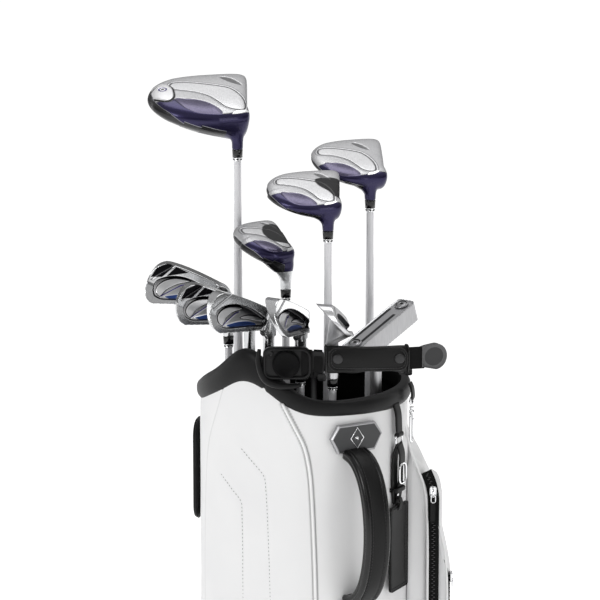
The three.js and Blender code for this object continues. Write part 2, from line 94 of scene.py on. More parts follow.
def make_studio():
    """A white sweep under a pale dome, with a large key at the left and a strip at each side."""
    bpy.ops.mesh.primitive_plane_add(size=80, location=(0, 0, 0))
    floor = bpy.context.object
    floor.name = "studio_floor"
    white = Shader("studio_white", (0.94, 0.94, 0.94), 0.95, Emission_Strength=FLOOR_GLOW)
    white.set("Emission Color", (1, 1, 1, 1))
    floor.data.materials.append(white.done())

    world = bpy.data.worlds.new("studio")
    world.use_nodes = True
    scene.world = world
    tree = world.node_tree
    background = tree.nodes["Background"]
    coordinate = tree.nodes.new("ShaderNodeTexCoord")
    split = tree.nodes.new("ShaderNodeSeparateXYZ")
    ramp = tree.nodes.new("ShaderNodeValToRGB")
    tree.links.new(coordinate.outputs["Generated"], split.inputs[0])
    tree.links.new(split.outputs["Z"], ramp.inputs[0])
    tree.links.new(ramp.outputs[0], background.inputs["Color"])
    while len(ramp.color_ramp.elements) < len(DOME):
        ramp.color_ramp.elements.new(0.5)
    for element, (at, grey) in zip(ramp.color_ramp.elements, DOME):
        element.position = at
        element.color = (grey, grey, grey, 1)
    background.inputs["Strength"].default_value = DOME_STRENGTH

    softbox("key", (-2.2, -3.2, 2.8), (0, 0, 0.8), (1.5, 1.5), 52)
    softbox("fill", (2.6, -2.8, 1.7), (0, 0, 0.8), (0.7, 2.2), 13)
    softbox("top", (0.2, 0.5, 3.4), (0, 0, 0.9), (2.0, 1.2), 24)
    softbox("rim_left", (-2.8, 1.2, 1.6), (0, 0, 0.9), (0.6, 2.2), 9)
    softbox("rim_right", (2.6, 1.6, 1.6), (0, 0, 0.9), (0.6, 2.2), 8)
    scene.view_settings.view_transform = "Standard"


# ---------------------------------------------------------------- materials

class Shader:
    """A principled material and short ways to join nodes to it."""

    def __init__(self, name, colour, rough, metal=0.0, **sockets):
        self.material = bpy.data.materials.new(name)
        self.material.use_nodes = True
        self.tree = self.material.node_tree
        self.bsdf = self.tree.nodes["Principled BSDF"]
        self.set("Base Color", (*colour, 1))
        self.set("Roughness", rough)
        self.set("Metallic", metal)
        for socket, value in sockets.items():
            self.set(socket.replace("_", " "), value)
        self.height = None

    def set(self, socket, value):
        if hasattr(value, "is_output"):
            self.tree.links.new(value, self.bsdf.inputs[socket])
        else:
            self.bsdf.inputs[socket].default_value = value
        return self

    def node(self, kind, inputs=(), output=0, **settings):
        made = self.tree.nodes.new("ShaderNode" + kind)
        for key, value in settings.items():
            setattr(made, key, value)
        for key, value in dict(inputs).items():
            if hasattr(value, "is_output"):
                self.tree.links.new(value, made.inputs[key])
            else:
                made.inputs[key].default_value = value
        return made.outputs[output]

    def place(self, stretch=(1, 1, 1)):
        point = self.node("TexCoord", output="Object")
        return self.node("Mapping", {"Vector": point, "Scale": stretch})

    def noise(self, per_metre, detail=2.0, stretch=(1, 1, 1), output="Fac", rough=0.5):
        where = {"Vector": self.place(stretch), "Scale": per_metre, "Detail": detail, "Roughness": rough}
        return self.node("TexNoise", where, output)

    def cells(self, per_metre, stretch=(1, 1, 1), feature="F1"):
        where = {"Vector": self.place(stretch), "Scale": per_metre}
        return self.node("TexVoronoi", where, "Distance", feature=feature)

    def attribute(self, name):
        return self.node("Attribute", output="Fac", attribute_name=name)

    def math(self, operation, a, b=0.0, clamp=False):
        return self.node("Math", {0: a, 1: b}, operation=operation, use_clamp=clamp)

    def span(self, value, low, high, out_low=0.0, out_high=1.0):
        """Carries value from low..high to out_low..out_high, held at both ends."""
        given = {"Value": value, "From Min": low, "From Max": high, "To Min": out_low, "To Max": out_high}
        return self.node("MapRange", given)

    def mix(self, factor, a, b):
        colours = {"Factor": factor, 6: (*a, 1) if isinstance(a, tuple) else a}
        colours[7] = (*b, 1) if isinstance(b, tuple) else b
        return self.node("Mix", colours, 2, data_type="RGBA")

    def blend(self, factor, a, b):
        return self.node("Mix", {"Factor": factor, 2: a, 3: b}, 0, data_type="FLOAT")

    def bump(self, height, distance, strength=1.0):
        """Adds a height, whose full range stands for this distance in metres."""
        given = {"Height": height, "Distance": distance, "Strength": strength}
        if self.height is not None:
            given["Normal"] = self.height
        self.height = self.node("Bump", given, "Normal")
        return self

    def done(self):
        if self.height is not None:
            self.set("Normal", self.height)
        return self.material


def leather(name, colour, shade, rough, grain, shine=0.4):
    """Pebbled leather: cells of about a millimetre, slow mottling, and painted shade that darkens the
    seam grooves which a piece marks with its crease attribute."""
    s = Shader(name, colour, rough, Specular_IOR_Level=shine)
    pebble = s.cells(950, feature="SMOOTH_F1")
    fine = s.noise(2600, 3)
    broad = s.noise(9, 3)
    ground = s.mix(s.span(broad, 0.35, 0.7), colour, shade)
    # Painted shade: the colour darkens towards a dark tone where the crease attribute marks a seam groove.
    s.set("Base Color", s.mix(s.span(s.attribute("crease"), 0, 1, 0, 0.85), ground,
                              tuple(c * 0.35 for c in shade)))
    s.set("Roughness", s.span(fine, 0.3, 0.7, rough - 0.06, rough + 0.08))
    s.bump(pebble, grain).bump(fine, grain * 0.4)
    return s.done()


def moulded(name, colour, rough, texture=0.00004, metal=0.0, **more):
    """Moulded plastic or rubber with a fine spark texture and faint mottling."""
    s = Shader(name, colour, rough, metal, **more)
    grain = s.noise(3200, 2)
    broad = s.noise(30, 2)
    darker = tuple(c * 0.82 for c in colour)
    s.set("Base Color", s.mix(s.span(broad, 0.3, 0.7), colour, darker))
    s.set("Roughness", s.span(broad, 0.3, 0.7, rough - 0.04, rough + 0.06))
    s.bump(grain, texture)
    return s.done()


def metal_finish(name, colour, rough, brush=(1, 1, 1), depth=0.000004):
    """Polished or brushed metal: fine marks drawn out along one axis, and handling smears."""
    s = Shader(name, colour, rough, 1.0)
    marks = s.noise(1800, 3, brush)
    smears = s.noise(28, 3)
    s.set("Roughness", s.span(smears, 0.3, 0.75, rough * 0.8, rough * 1.35 + 0.02))
    s.set("Base Color", s.mix(s.span(marks, 0.35, 0.65), colour, tuple(c * 0.9 for c in colour)))
    s.bump(marks, depth)
    return s.done()


def weave(name, colour, across, along):
    """Woven webbing: ribs across the band crossed by yarns along it."""
    s = Shader(name, colour, 0.85, Specular_IOR_Level=0.2)
    ribs = s.node("TexWave", {"Vector": s.place(across), "Scale": 1.0, "Distortion": 0.3}, "Fac")
    yarns = s.node("TexWave", {"Vector": s.place(along), "Scale": 1.0, "Distortion": 0.5}, "Fac")
    height = s.math("MULTIPLY", ribs, yarns)
    # Painted shade: the colour darkens to under half where the weave lies low, between the yarns.
    s.set("Base Color", s.mix(height, tuple(c * 0.45 for c in colour), colour))
    s.bump(height, 0.00035)
    return s.done()


LOOKS = {}


def make_materials():
    white, pale = (0.765, 0.765, 0.765), (0.73, 0.73, 0.735)
    LOOKS.update(
        white_leather=leather("white_leather", white, pale, 0.5, 0.00006),
        white_piping=leather("white_piping", (0.83, 0.83, 0.83), white, 0.4, 0.00004),
        grey_thread=moulded("grey_thread", (0.30, 0.30, 0.30), 0.8),
        black_leather=leather("black_leather", (0.004, 0.004, 0.004), (0.006, 0.006, 0.006), 0.4, 0.00005,
                              0.2),
        black_edge=leather("black_edge", (0.003, 0.003, 0.003), (0.005, 0.005, 0.005), 0.25, 0.00002, 0.36),
        black_soft=leather("black_soft", (0.0055, 0.0055, 0.0058), (0.008, 0.008, 0.0083), 0.44, 0.00004,
                           0.17),
        # A darker, duller copy of the soft black for the bag's inner faces: the lining is black, and the
        # extra darkness is painted shade inside the mouth.
        black_lining=leather("black_lining", (0.002, 0.002, 0.002), (0.003, 0.003, 0.003), 0.95, 0.00005,
                             0.03),
        black_plastic=moulded("black_plastic", (0.004, 0.004, 0.0043), 0.32, Specular_IOR_Level=0.24),
        black_gloss=moulded("black_gloss", (0.003, 0.003, 0.0035), 0.14, 0.00001),
        grey_plastic=moulded("grey_plastic", (0.10, 0.10, 0.102), 0.5, Specular_IOR_Level=0.3),
        black_deep=moulded("black_deep", (0.003, 0.003, 0.0032), 0.42, Specular_IOR_Level=0.07),
        snap_grey=moulded("snap_grey", (0.028, 0.028, 0.029), 0.42, Specular_IOR_Level=0.35),
        plate_grey=moulded("plate_grey", (0.045, 0.046, 0.048), 0.42, 0.00003, 0.1),
        black_thread=moulded("black_thread", (0.035, 0.035, 0.036), 0.75),
        webbing=weave("webbing", (0.006, 0.006, 0.0062), (260, 0, 0), (0, 0, 420)),
        chrome=metal_finish("chrome", (0.86, 0.865, 0.875), 0.07),
        plate_silver=metal_finish("plate_silver", (0.36, 0.36, 0.37), 0.34),
        satin_steel=metal_finish("satin_steel", (0.66, 0.67, 0.68), 0.26, (1, 1, 0.15), 0.00001),
        shaft_silver=shaft_paint(),
        shaft_chrome=metal_finish("shaft_chrome", (0.8, 0.81, 0.82), 0.1, (1, 1, 0.02)),
        grip_rubber=grip_rubber(),
    )


def shaft_paint():
    """Pearl white lacquer over graphite: bright flakes under a clear coat."""
    s = Shader("shaft_silver", (0.70, 0.70, 0.71), 0.32, 0.25, Coat_Weight=0.6, Coat_Roughness=0.06)
    flakes = s.cells(5200)
    s.set("Base Color", s.mix(s.span(flakes, 0.1, 0.6), (0.78, 0.78, 0.79), (0.62, 0.62, 0.64)))
    s.bump(s.noise(300, 2, (1, 1, 0.1)), 0.00001)
    return s.done()


def grip_rubber():
    """Moulded rubber grip: rows of small chevron grooves over a matt ground."""
    s = Shader("grip_rubber", (0.016, 0.016, 0.017), 0.78)
    fine = s.noise(2400, 2)
    rows = s.node("TexWave", {"Vector": s.place((90, 90, 260)), "Scale": 1.0, "Distortion": 2.0}, "Fac")
    # Painted shade: the grooves between the raised rows are coloured darker than the rows.
    s.set("Base Color", s.mix(s.span(rows, 0.55, 0.8), (0.016, 0.016, 0.017), (0.03, 0.03, 0.031)))
    s.bump(rows, 0.0004).bump(fine, 0.00008)
    return s.done()


# ---------------------------------------------------------------- mesh helpers

def piece(name, points, faces, look, body, slot, replaces=(), smooth=True):
    """A new object from points in millimetres that rides on a CAD body."""
    mesh = bpy.data.meshes.new(name)
    mesh.from_pydata((np.asarray(points, float) * MM).tolist(), [], [list(map(int, f)) for f in faces])
    mesh.validate()
    obj = bpy.data.objects.new(name, mesh)
    scene.collection.objects.link(obj)
    outward(mesh)
    if smooth:
        mesh.shade_smooth()
    return dressed(obj, look, body, replaces)


def dressed(obj, look, body, replaces=()):
    if look is not None:
        obj.data.materials.clear()
        obj.data.materials.append(LOOKS[look] if isinstance(look, str) else look)
    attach(obj, body)
    if replaces:
        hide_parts(*replaces)
    return obj


def outward(mesh):
    bm = bmesh.new()
    bm.from_mesh(mesh)
    bmesh.ops.remove_doubles(bm, verts=bm.verts, dist=1e-6)
    bmesh.ops.recalc_face_normals(bm, faces=bm.faces)
    bm.to_mesh(mesh)
    bm.free()


def grid_faces(rows, columns, wrap_rows=False, wrap_columns=True):
    """Quads between rows x columns points stored row by row."""
    faces = []
    for i in range(rows if wrap_rows else rows - 1):
        for j in range(columns if wrap_columns else columns - 1):
            a, b = i, (i + 1) % rows
            c, d = j, (j + 1) % columns
            faces.append((a * columns + c, a * columns + d, b * columns + d, b * columns + c))
    return faces


def lathe(profile, segments=48):
    """Points and faces of a closed body of revolution; profile is [radius, height], on the axis at its
    two ends or closed on itself."""
    closed = profile[0] == profile[-1]
    rings = np.array(profile[:-1] if closed else profile, float)
    angles = np.arange(segments) / segments * 2 * math.pi
    x = rings[:, :1] * np.cos(angles)
    y = rings[:, :1] * np.sin(angles)
    z = np.repeat(rings[:, 1:], segments, 1)
    return np.stack([x, y, z], -1).reshape(-1, 3), grid_faces(len(rings), segments, closed)


def shift(mesh_data, offset):
    points, faces = mesh_data
    return np.asarray(points, float) + np.array(offset, float), faces


def together(*parts):
    """Several (points, faces) as one."""
    points, faces, count = [], [], 0
    for p, f in parts:
        points.append(np.asarray(p, float))
        faces += [tuple(int(i) + count for i in face) for face in f]
        count += len(p)
    return np.concatenate(points), faces


def smooth_line(points, step):
    """A centripetal curve through the points, sampled about every step."""
    p = [np.array(q, float) for q in points]
    p = [2 * p[0] - p[1], *p, 2 * p[-1] - p[-2]]
    out = []
    for i in range(1, len(p) - 2):
        knots = [0.0]
        for a, b in zip(p[i - 1:i + 2], p[i:i + 3]):
            knots.append(knots[-1] + max(1e-6, np.linalg.norm(b - a)) ** 0.5)
        count = max(2, int(np.linalg.norm(p[i + 1] - p[i]) / step))
        for k in range(count):
            t = knots[1] + (knots[2] - knots[1]) * k / count
            a = [((knots[j + 1] - t) * p[i - 1 + j] + (t - knots[j]) * p[i + j]) / (knots[j + 1] - knots[j])
                 for j in range(3)]
            b = [((knots[j + 2] - t) * a[j] + (t - knots[j]) * a[j + 1]) / (knots[j + 2] - knots[j])
                 for j in range(2)]
            out.append(((knots[2] - t) * b[0] + (t - knots[1]) * b[1]) / (knots[2] - knots[1]))
    out.append(p[-2])
    return np.array(out)


def sweep(line, section, side=None, closed=False):
    """Carries a closed section along a line. The section's first axis stays along side, a fixed
    direction or one for each point; its second axis is square to it."""
    line, section = np.asarray(line, float), np.asarray(section, float)
    ahead = np.roll(line, -1, 0) - np.roll(line, 1, 0) if closed else np.gradient(line, axis=0)
    ahead /= np.linalg.norm(ahead, axis=1)[:, None]
    across = np.broadcast_to(np.array((1.0, 0.013, 0.02) if side is None else side, float), line.shape)
    across = across - (across * ahead).sum(1)[:, None] * ahead
    across /= np.linalg.norm(across, axis=1)[:, None]
    up = np.cross(ahead, across)
    points = (line[:, None] + section[None, :, :1] * across[:, None] + section[None, :, 1:] * up[:, None])
    n, m = len(line), len(section)
    faces = grid_faces(n, m, closed)
    if not closed:
        faces += [tuple(range(m)), tuple(range((n - 1) * m, n * m))]
    return points.reshape(-1, 3), faces


def ring_section(radius, count=12, flatten=1.0):
    t = np.arange(count) / count * 2 * math.pi
    return np.stack([radius * np.cos(t), radius * flatten * np.sin(t)], 1)


def rounded_box_section(width, thickness, power=5.0, count=48):
    t = np.arange(count) / count * 2 * math.pi
    c, s = np.cos(t), np.sin(t)
    x = np.sign(c) * np.abs(c) ** (2 / power) * width / 2
    y = np.sign(s) * np.abs(s) ** (2 / power) * thickness / 2
    return np.stack([x, y], 1)


def rounded_outline(width, height, radius, steps=8):
    """A rectangle with round corners, counter-clockwise, about the origin."""
    out = []
    for i, (sx, sy) in enumerate([(1, -1), (1, 1), (-1, 1), (-1, -1)]):
        for k in range(steps + 1):
            t = math.radians(-90 + 90 * i + 90 * k / steps)
            out.append((sx * (width / 2 - radius) + radius * math.cos(t),
                        sy * (height / 2 - radius) + radius * math.sin(t)))
    return out


def signed_distance(points, outline):
    """Distance of 2-D points to a closed outline, negative inside."""
    p = np.asarray(points, float)
    a = np.asarray(outline, float)
    b = np.roll(a, -1, 0)
    best = np.full(len(p), 1e9)
    inside = np.zeros(len(p), bool)
    for s, e in zip(a, b):
        d = e - s
        t = np.clip(((p - s) @ d) / max(1e-12, d @ d), 0, 1)
        best = np.minimum(best, np.linalg.norm(p - (s + t[:, None] * d), axis=1))
        crosses = (s[1] > p[:, 1]) != (e[1] > p[:, 1])
        if crosses.any():
            at = s[0] + (p[:, 1] - s[1]) / (e[1] - s[1] if e[1] != s[1] else 1e-12) * d[0]
            inside ^= crosses & (p[:, 0] < at)
    return np.where(inside, -best, best)


def line_distance(points, line):
    """Distance of 2-D points to an open line."""
    p = np.asarray(points, float)
    best = np.full(len(p), 1e9)
    for s, e in zip(line[:-1], line[1:]):
        d = e - s
        t = np.clip(((p - s) @ d) / max(1e-12, d @ d), 0, 1)
        best = np.minimum(best, np.linalg.norm(p - (s + t[:, None] * d), axis=1))
    return best


def filled(outline, spacing):
    """Triangles inside an outline with evenly spread inner points."""
    edge = np.asarray(outline, float)
    low, high = edge.min(0), edge.max(0)
    xs = np.arange(low[0] + spacing / 2, high[0], spacing)
    ys = np.arange(low[1] + spacing / 2, high[1], spacing)
    inner = np.array([(x + (spacing / 2 if k % 2 else 0), y) for k, y in enumerate(ys) for x in xs])
    if len(inner):
        inner = inner[signed_distance(inner, edge) < -0.6 * spacing]
    points = [Vector(p) for p in edge] + [Vector(p) for p in inner]
    loop = [(i, (i + 1) % len(edge)) for i in range(len(edge))]
    made, _, faces, *_ = geometry.delaunay_2d_cdt(points, loop, [], 1, 1e-5)
    return np.array([tuple(p) for p in made]), [tuple(f) for f in faces]


def plate(outline, layers, spacing):
    """A closed slab between outline copies at the first and last of the layers' heights; each layer
    may also be drawn in, as [height, inset], for a rounded edge."""
    flat, triangles = filled(outline, spacing)
    edges = {}
    for f in triangles:
        for a, b in zip(f, f[1:] + f[:1]):
            edges[(a, b)] = 1
    rim = [(a, b) for a, b in edges if (b, a) not in edges]
    centre = flat.mean(0)
    reach = np.abs(flat - centre).max(0)
    n = len(flat)
    points = []
    for height, inset in layers:
        scaled = centre + (flat - centre) * (1 - inset / reach)
        points.append(np.column_stack([scaled, np.full(n, height)]))
    last = n * (len(layers) - 1)
    faces = [tuple(reversed(f)) for f in triangles] + [tuple(i + last for i in f) for f in triangles]
    for k in range(len(layers) - 1):
        faces += [(a + n * k, b + n * k, b + n * (k + 1), a + n * (k + 1)) for a, b in rim]
    kept = np.concatenate(points)
    used = sorted({i for f in faces for i in f})
    number = {old: new for new, old in enumerate(used)}
    return kept[used], [tuple(number[i] for i in f) for f in faces]


def modified(obj, kind, **settings):
    """Applies one modifier."""
    modifier = obj.modifiers.new(kind.lower(), kind)
    for key, value in settings.items():
        setattr(modifier, key, value)
    dg = bpy.context.evaluated_depsgraph_get()
    mesh = bpy.data.meshes.new_from_object(obj.evaluated_get(dg))
    old, obj.data = obj.data, mesh
    obj.modifiers.clear()
    if old.users == 0:
        bpy.data.meshes.remove(old)
    return obj


def loose(name, points, faces):
    """A working object in millimetres that isn't a piece yet."""
    mesh = bpy.data.meshes.new(name)
    mesh.from_pydata(np.asarray(points, float).tolist(), [], [list(map(int, f)) for f in faces])
    mesh.validate()
    outward(mesh)
    obj = bpy.data.objects.new(name, mesh)
    scene.collection.objects.link(obj)
    return obj


def cut(obj, tool):
    modified(obj, "BOOLEAN", operation="DIFFERENCE", solver="EXACT", object=tool)
    bpy.data.objects.remove(tool)
    return obj


def corners(obj):
    """An object's vertices as an array."""
    co = np.empty(len(obj.data.vertices) * 3)
    obj.data.vertices.foreach_get("co", co)
    return co.reshape(-1, 3)


def move_corners(obj, points):
    obj.data.vertices.foreach_set("co", np.ascontiguousarray(points, float).ravel())
    obj.data.update()


def second_look(obj, look, chosen):
    """Gives the faces that are chosen, an array of booleans, another material."""
    obj.data.materials.append(LOOKS[look])
    index = np.where(np.asarray(chosen), len(obj.data.materials) - 1, 0).astype(np.int32)
    obj.data.polygons.foreach_set("material_index", index)


def face_middles(obj):
    co = np.empty(len(obj.data.polygons) * 3)
    obj.data.polygons.foreach_get("center", co)
    return co.reshape(-1, 3) / MM


def store(obj, name, values):
    """Keeps one number for each vertex, for the material to read."""
    attribute = obj.data.attributes.new(name, "FLOAT", "POINT")
    attribute.data.foreach_set("value", np.asarray(values, np.float32))


def smoothstep(value, low, high):
    t = np.clip((np.asarray(value, float) - low) / (high - low), 0, 1)
    return t * t * (3 - 2 * t)


def stitches(line, outwards, length, gap, radius):
    """Small thread capsules lying along a line, bowed over the surface whose normals are outwards."""
    steps = np.linalg.norm(np.diff(line, axis=0), axis=1)
    at = np.concatenate([[0], np.cumsum(steps)])
    parts = []
    start = gap
    while start + length < at[-1]:
        t = np.linspace(start, start + length, 5)
        run = np.stack([np.interp(t, at, line[:, k]) for k in range(3)], 1)
        out = np.stack([np.interp(t, at, outwards[:, k]) for k in range(3)], 1)
        run = run + out * (np.array([-0.6, 0.4, 0.6, 0.4, -0.6]) * radius)[:, None]
        parts.append(sweep(run, ring_section(radius, 6), side=out[2]))
        start += length + gap
    return together(*parts)


# ---------------------------------------------------------------- the bag

HALF_X, HALF_Y = 120, 132
WALL = 4
BASE_HEIGHT = 60
BASE_SEAT = BASE_HEIGHT * 0.35
FLOOR_TOP = 14
CUFF_TOP, CUFF_BOTTOM, CUFF_THICK = 863, 841, 15
LOBE_ANGLE, LOBE_WIDTH = 237, 23
LOBE_TOP_RISE, LOBE_BOTTOM_RISE = 57, 40


def oval(angle, outward):
    """Points of the oval wall at these angles, moved outward along the wall's normal."""
    c, s = np.cos(angle), np.sin(angle)
    length = np.hypot(c / HALF_X, s / HALF_Y)
    x = HALF_X * c + c / HALF_X / length * outward
    y = HALF_Y * s + s / HALF_Y / length * outward
    return x, y


def swell(angle, centre, width):
    """A smooth swell of one round this angle, in degrees."""
    away = (np.degrees(angle) - centre + 540) % 360 - 180
    return np.exp(-((away / width) ** 2))


def cuff_top(angle):
    rise = LOBE_TOP_RISE * swell(angle, LOBE_ANGLE, LOBE_WIDTH)
    return CUFF_TOP + rise - 13 * swell(angle, 148, 30) + 11 * swell(angle, 204, 17)


def cuff_bottom(angle):
    rise = LOBE_BOTTOM_RISE * swell(angle, LOBE_ANGLE, LOBE_WIDTH)
    return CUFF_BOTTOM + rise + 5 * swell(angle, 285, 36) + 6 * swell(angle, 208, 13)


def on_wall(mesh_data, angle_degrees, height, outward):
    """Carries points from a frame with x along the wall, y outward and z up to the wall."""
    points, faces = mesh_data
    a = math.radians(angle_degrees)
    x, y = oval(a, outward)
    x1, y1 = oval(a, 1.0)
    x0, y0 = oval(a, 0.0)
    turn = math.atan2(y1 - y0, x1 - x0) - math.pi / 2
    c, s = math.cos(turn), math.sin(turn)
    p = np.asarray(points, float)
    moved = np.column_stack([p[:, 0] * c - p[:, 1] * s + x, p[:, 0] * s + p[:, 1] * c + y, p[:, 2] + height])
    return moved, faces


# Along the front wall: distance round the oval from its front middle, against the angle.
ROUND = np.radians(np.linspace(90, 450, 1441))
ARC = np.concatenate([[0], np.cumsum(np.hypot(*np.diff(np.array(oval(ROUND, 0.0)), axis=1)))])
ARC -= np.interp(math.radians(270), ROUND, ARC)
FRONT = (ROUND >= math.radians(180)) & (ROUND <= math.radians(360))


def wall_run(x):
    """Distance round the oval, from the front middle, of the front wall's point at this x."""
    return np.interp(x, oval(ROUND[FRONT], 0.0)[0], ARC[FRONT])


def wall_angle(run):
    return np.interp(run, ARC, ROUND)


# Seams of the front, as [x, height]. They run on down to the base.
PIPED_SEAM = [(-24, 862), (-12, 838), (0, 813), (6, 785), (8.5, 755), (11, 700), (13, 630), (15, 480),
              (16, 62)]
SIDE_SEAM = [(-88, 882), (-98, 845), (-109, 798), (-113, 741), (-114, 600), (-114, 62)]
STITCHED_SEAMS = [
    [(-72, 806), (-58, 791), (-45, 776), (-43, 762), (-38, 629), (-34, 400), (-33, 66)],
    [(-95, 770), (-82, 755), (-71, 742), (-70, 728), (-69, 626), (-66, 400), (-65, 66)],
]
PIPE_WIDTH = 4.6


def seam_line(points, step=3.0):
    """A front seam as [distance round the oval, height], sampled evenly."""
    return smooth_line([(wall_run(x), z) for x, z in points], step)


def wall_relief(run, height):
    """How far the leather stands off the plain wall: soft panels between seams, and the seams' grooves;
    and the crease weight by the piping and the side seam, which the leather paints as shade."""
    at = np.column_stack([run, height])
    relief = np.zeros(len(at))
    panel = smoothstep(height, 60, 110) * (1 - smoothstep(height, 800, 850))
    relief += 1.4 * np.sin(np.clip((run - wall_run(15)) / 160, 0, 1) * math.pi) * panel
    near = np.abs(run) < 190
    spot = at[near]
    piped = line_distance(spot, seam_line(PIPED_SEAM, 8))
    side = line_distance(spot, seam_line(SIDE_SEAM, 8))
    grooves = -1.3 * np.exp(-((np.abs(piped) - PIPE_WIDTH / 2) / 1.0) ** 2)
    grooves += 1.1 * np.exp(-((piped / 1.7) ** 2))
    grooves -= 0.6 * np.exp(-((side / 1.1) ** 2))
    for seam in STITCHED_SEAMS:
        away = line_distance(spot, seam_line(seam, 8))
        grooves += -0.35 * np.exp(-((away / 1.2) ** 2)) + 0.5 * np.exp(-((away / 16) ** 2))
    relief[near] += grooves
    # Painted shade along the grooves beside the piping and along the side seam.
    crease = np.zeros(len(at))
    crease[near] = (np.exp(-((np.abs(piped) - PIPE_WIDTH / 2 - 0.3) / 0.75) ** 2)
                    + 0.35 * np.exp(-((side / 0.7) ** 2)))
    return relief, crease


def leather_drift(points, size, depth):
    """Slow unevenness of stretched leather."""
    return np.array([noise.noise(Vector(p) / size) * depth for p in points])


def make_bag_body():
    columns, rows = 760, 330
    angle = np.arange(columns) / columns * 2 * math.pi
    level = np.linspace(0, 1, rows)[:, None]
    low, high = BASE_HEIGHT + GAP, cuff_bottom(angle)[None] + 4
    height = low + (high - low) * level
    grid = np.broadcast_to(angle, height.shape)
    run = np.interp(np.where(grid < math.pi / 2, grid + 2 * math.pi, grid), ROUND, ARC)
    base = 1 - smoothstep(height, 420, 840)
    relief, crease = wall_relief(run.ravel(), height.ravel())
    out = base + relief.reshape(height.shape)
    x, y = oval(grid, out)
    points = np.stack([x, y, height], -1).reshape(-1, 3)
    coarse = points[:: 7]
    drift = np.interp(np.arange(len(points)), np.arange(0, len(points), 7), leather_drift(coarse, 55, 0.35))
    x, y = oval(grid, out + drift.reshape(height.shape))
    points = np.stack([x, y, height], -1).reshape(-1, 3)
    faces = grid_faces(rows, columns)
    shell = piece("bag_shell", points, faces, "white_leather", "bag", "white_leather", ["bag_body"])
    # The crease weight darkens the leather: painted shade in the seam grooves.
    store(shell, "crease", crease)
    solidify_wall(columns)


def solidify_wall(columns):
    """The black lining: the wall's inner skin, from the base's seat up to the collar, in a darker, duller
    black than the collar's, whose extra darkness is painted shade inside the bag.
    """
    angle = np.arange(0, columns, 4) / columns * 2 * math.pi
    rows = []
    for outward, height in [(-1.0, BASE_HEIGHT), (-0.6, BASE_SEAT + GAP), (-WALL, BASE_SEAT + GAP),
                            (-WALL, 200),
                            (-WALL, 400), (-WALL, 600), (-WALL, 780), (-WALL, None), (-1.0, None)]:
        x, y = oval(angle, outward)
        z = cuff_bottom(angle) + 3 if height is None else np.full(len(angle), float(height))
        rows.append(np.column_stack([x, y, z]))
    faces = grid_faces(len(rows), len(angle))
    piece("bag_lining", np.concatenate(rows), faces, "black_lining", "bag", "black_soft")


def wall_curve(line, outward):
    """A line of [distance round, height] as points on the wall, with the wall's normals."""
    angle = wall_angle(line[:, 0])
    x, y = oval(angle, outward)
    x1, y1 = oval(angle, outward + 1.0)
    points = np.column_stack([x, y, line[:, 1]])
    return points, np.column_stack([x1 - x, y1 - y, np.zeros(len(x))])


def make_wall_seams():
    threads = []
    for seam in STITCHED_SEAMS:
        points, normals = wall_curve(seam_line(seam), 0.55)
        threads.append(stitches(points, normals, 1.4, 3.0, 0.36))
    piece("wall_stitching", *together(*threads), "grey_thread", "bag", "white_leather")
    points, _ = wall_curve(seam_line(PIPED_SEAM), 1.35)
    piping = sweep(points, ring_section(PIPE_WIDTH / 2 - 0.7, 14), side=(0, -1, 0))
    piece("wall_piping", *piping, "white_piping", "bag", "white_leather")


def make_cuff():
    """The padded collar: a soft roll round the mouth with one slanting seam at the front."""
    columns, around = 420, 40
    angle = np.arange(columns) / columns * 2 * math.pi
    low, high = cuff_bottom(angle) - 0.5, cuff_top(angle)
    t = np.arange(around) / around * 2 * math.pi
    c, s = np.cos(t)[:, None], np.sin(t)[:, None]
    power = 2 / 2.6
    across = np.sign(c) * np.abs(c) ** power
    up = np.sign(s) * np.abs(s) ** power
    middle, half = (low + high) / 2, (high - low) / 2
    height = middle + up * half
    # The lining side is flatter, the front swells a little below its middle.
    out = 3 - CUFF_THICK / 2 + across * CUFF_THICK / 2
    out = out + 0.9 * np.clip(across, 0, 1) * np.cos(up * 1.3)
    run = np.interp(np.where(angle < math.pi / 2, angle + 2 * math.pi, angle), ROUND, ARC)
    seam_run = wall_run(-47) + (height - 870) * 0.32
    away = run - seam_run
    out = out - 2.2 * np.exp(-((away / 1.7) ** 2)) * np.clip(across + 0.3, 0, 1)
    back_seam = np.abs(np.degrees(angle) - 90) * math.radians(1) * HALF_X
    out = out - 1.0 * np.exp(-((back_seam / 1.3) ** 2)) * np.clip(across + 0.3, 0, 1)
    x, y = oval(np.broadcast_to(angle, height.shape), out)
    points = np.stack([x, y, height], -1).reshape(-1, 3)
    drift = leather_drift(points, 30, 0.35)
    x, y = oval(np.broadcast_to(angle, height.shape), out + drift.reshape(height.shape))
    points = np.stack([x, y, height], -1).reshape(-1, 3)
    cuff = piece("cuff_roll", points, grid_faces(around, columns, True), "black_soft", "bag", "black_soft",
                 ["bag_cuff"])
    # The crease weight along the slanting seam darkens the leather: painted shade in the seam.
    store(cuff, "crease", 0.9 * np.exp(-((away / 0.8) ** 2)).reshape(-1))
    # The cuff's inner faces take the darker lining black: painted shade inside the mouth.
    middles = face_middles(cuff)
    inner = (middles[:, 0] / (HALF_X - 8)) ** 2 + (middles[:, 1] / (HALF_Y - 8)) ** 2 < 1
    second_look(cuff, "black_lining", inner)


DIVIDER_X, DIVIDER_Y, DIVIDER_TOP = 11.5, -20, 838


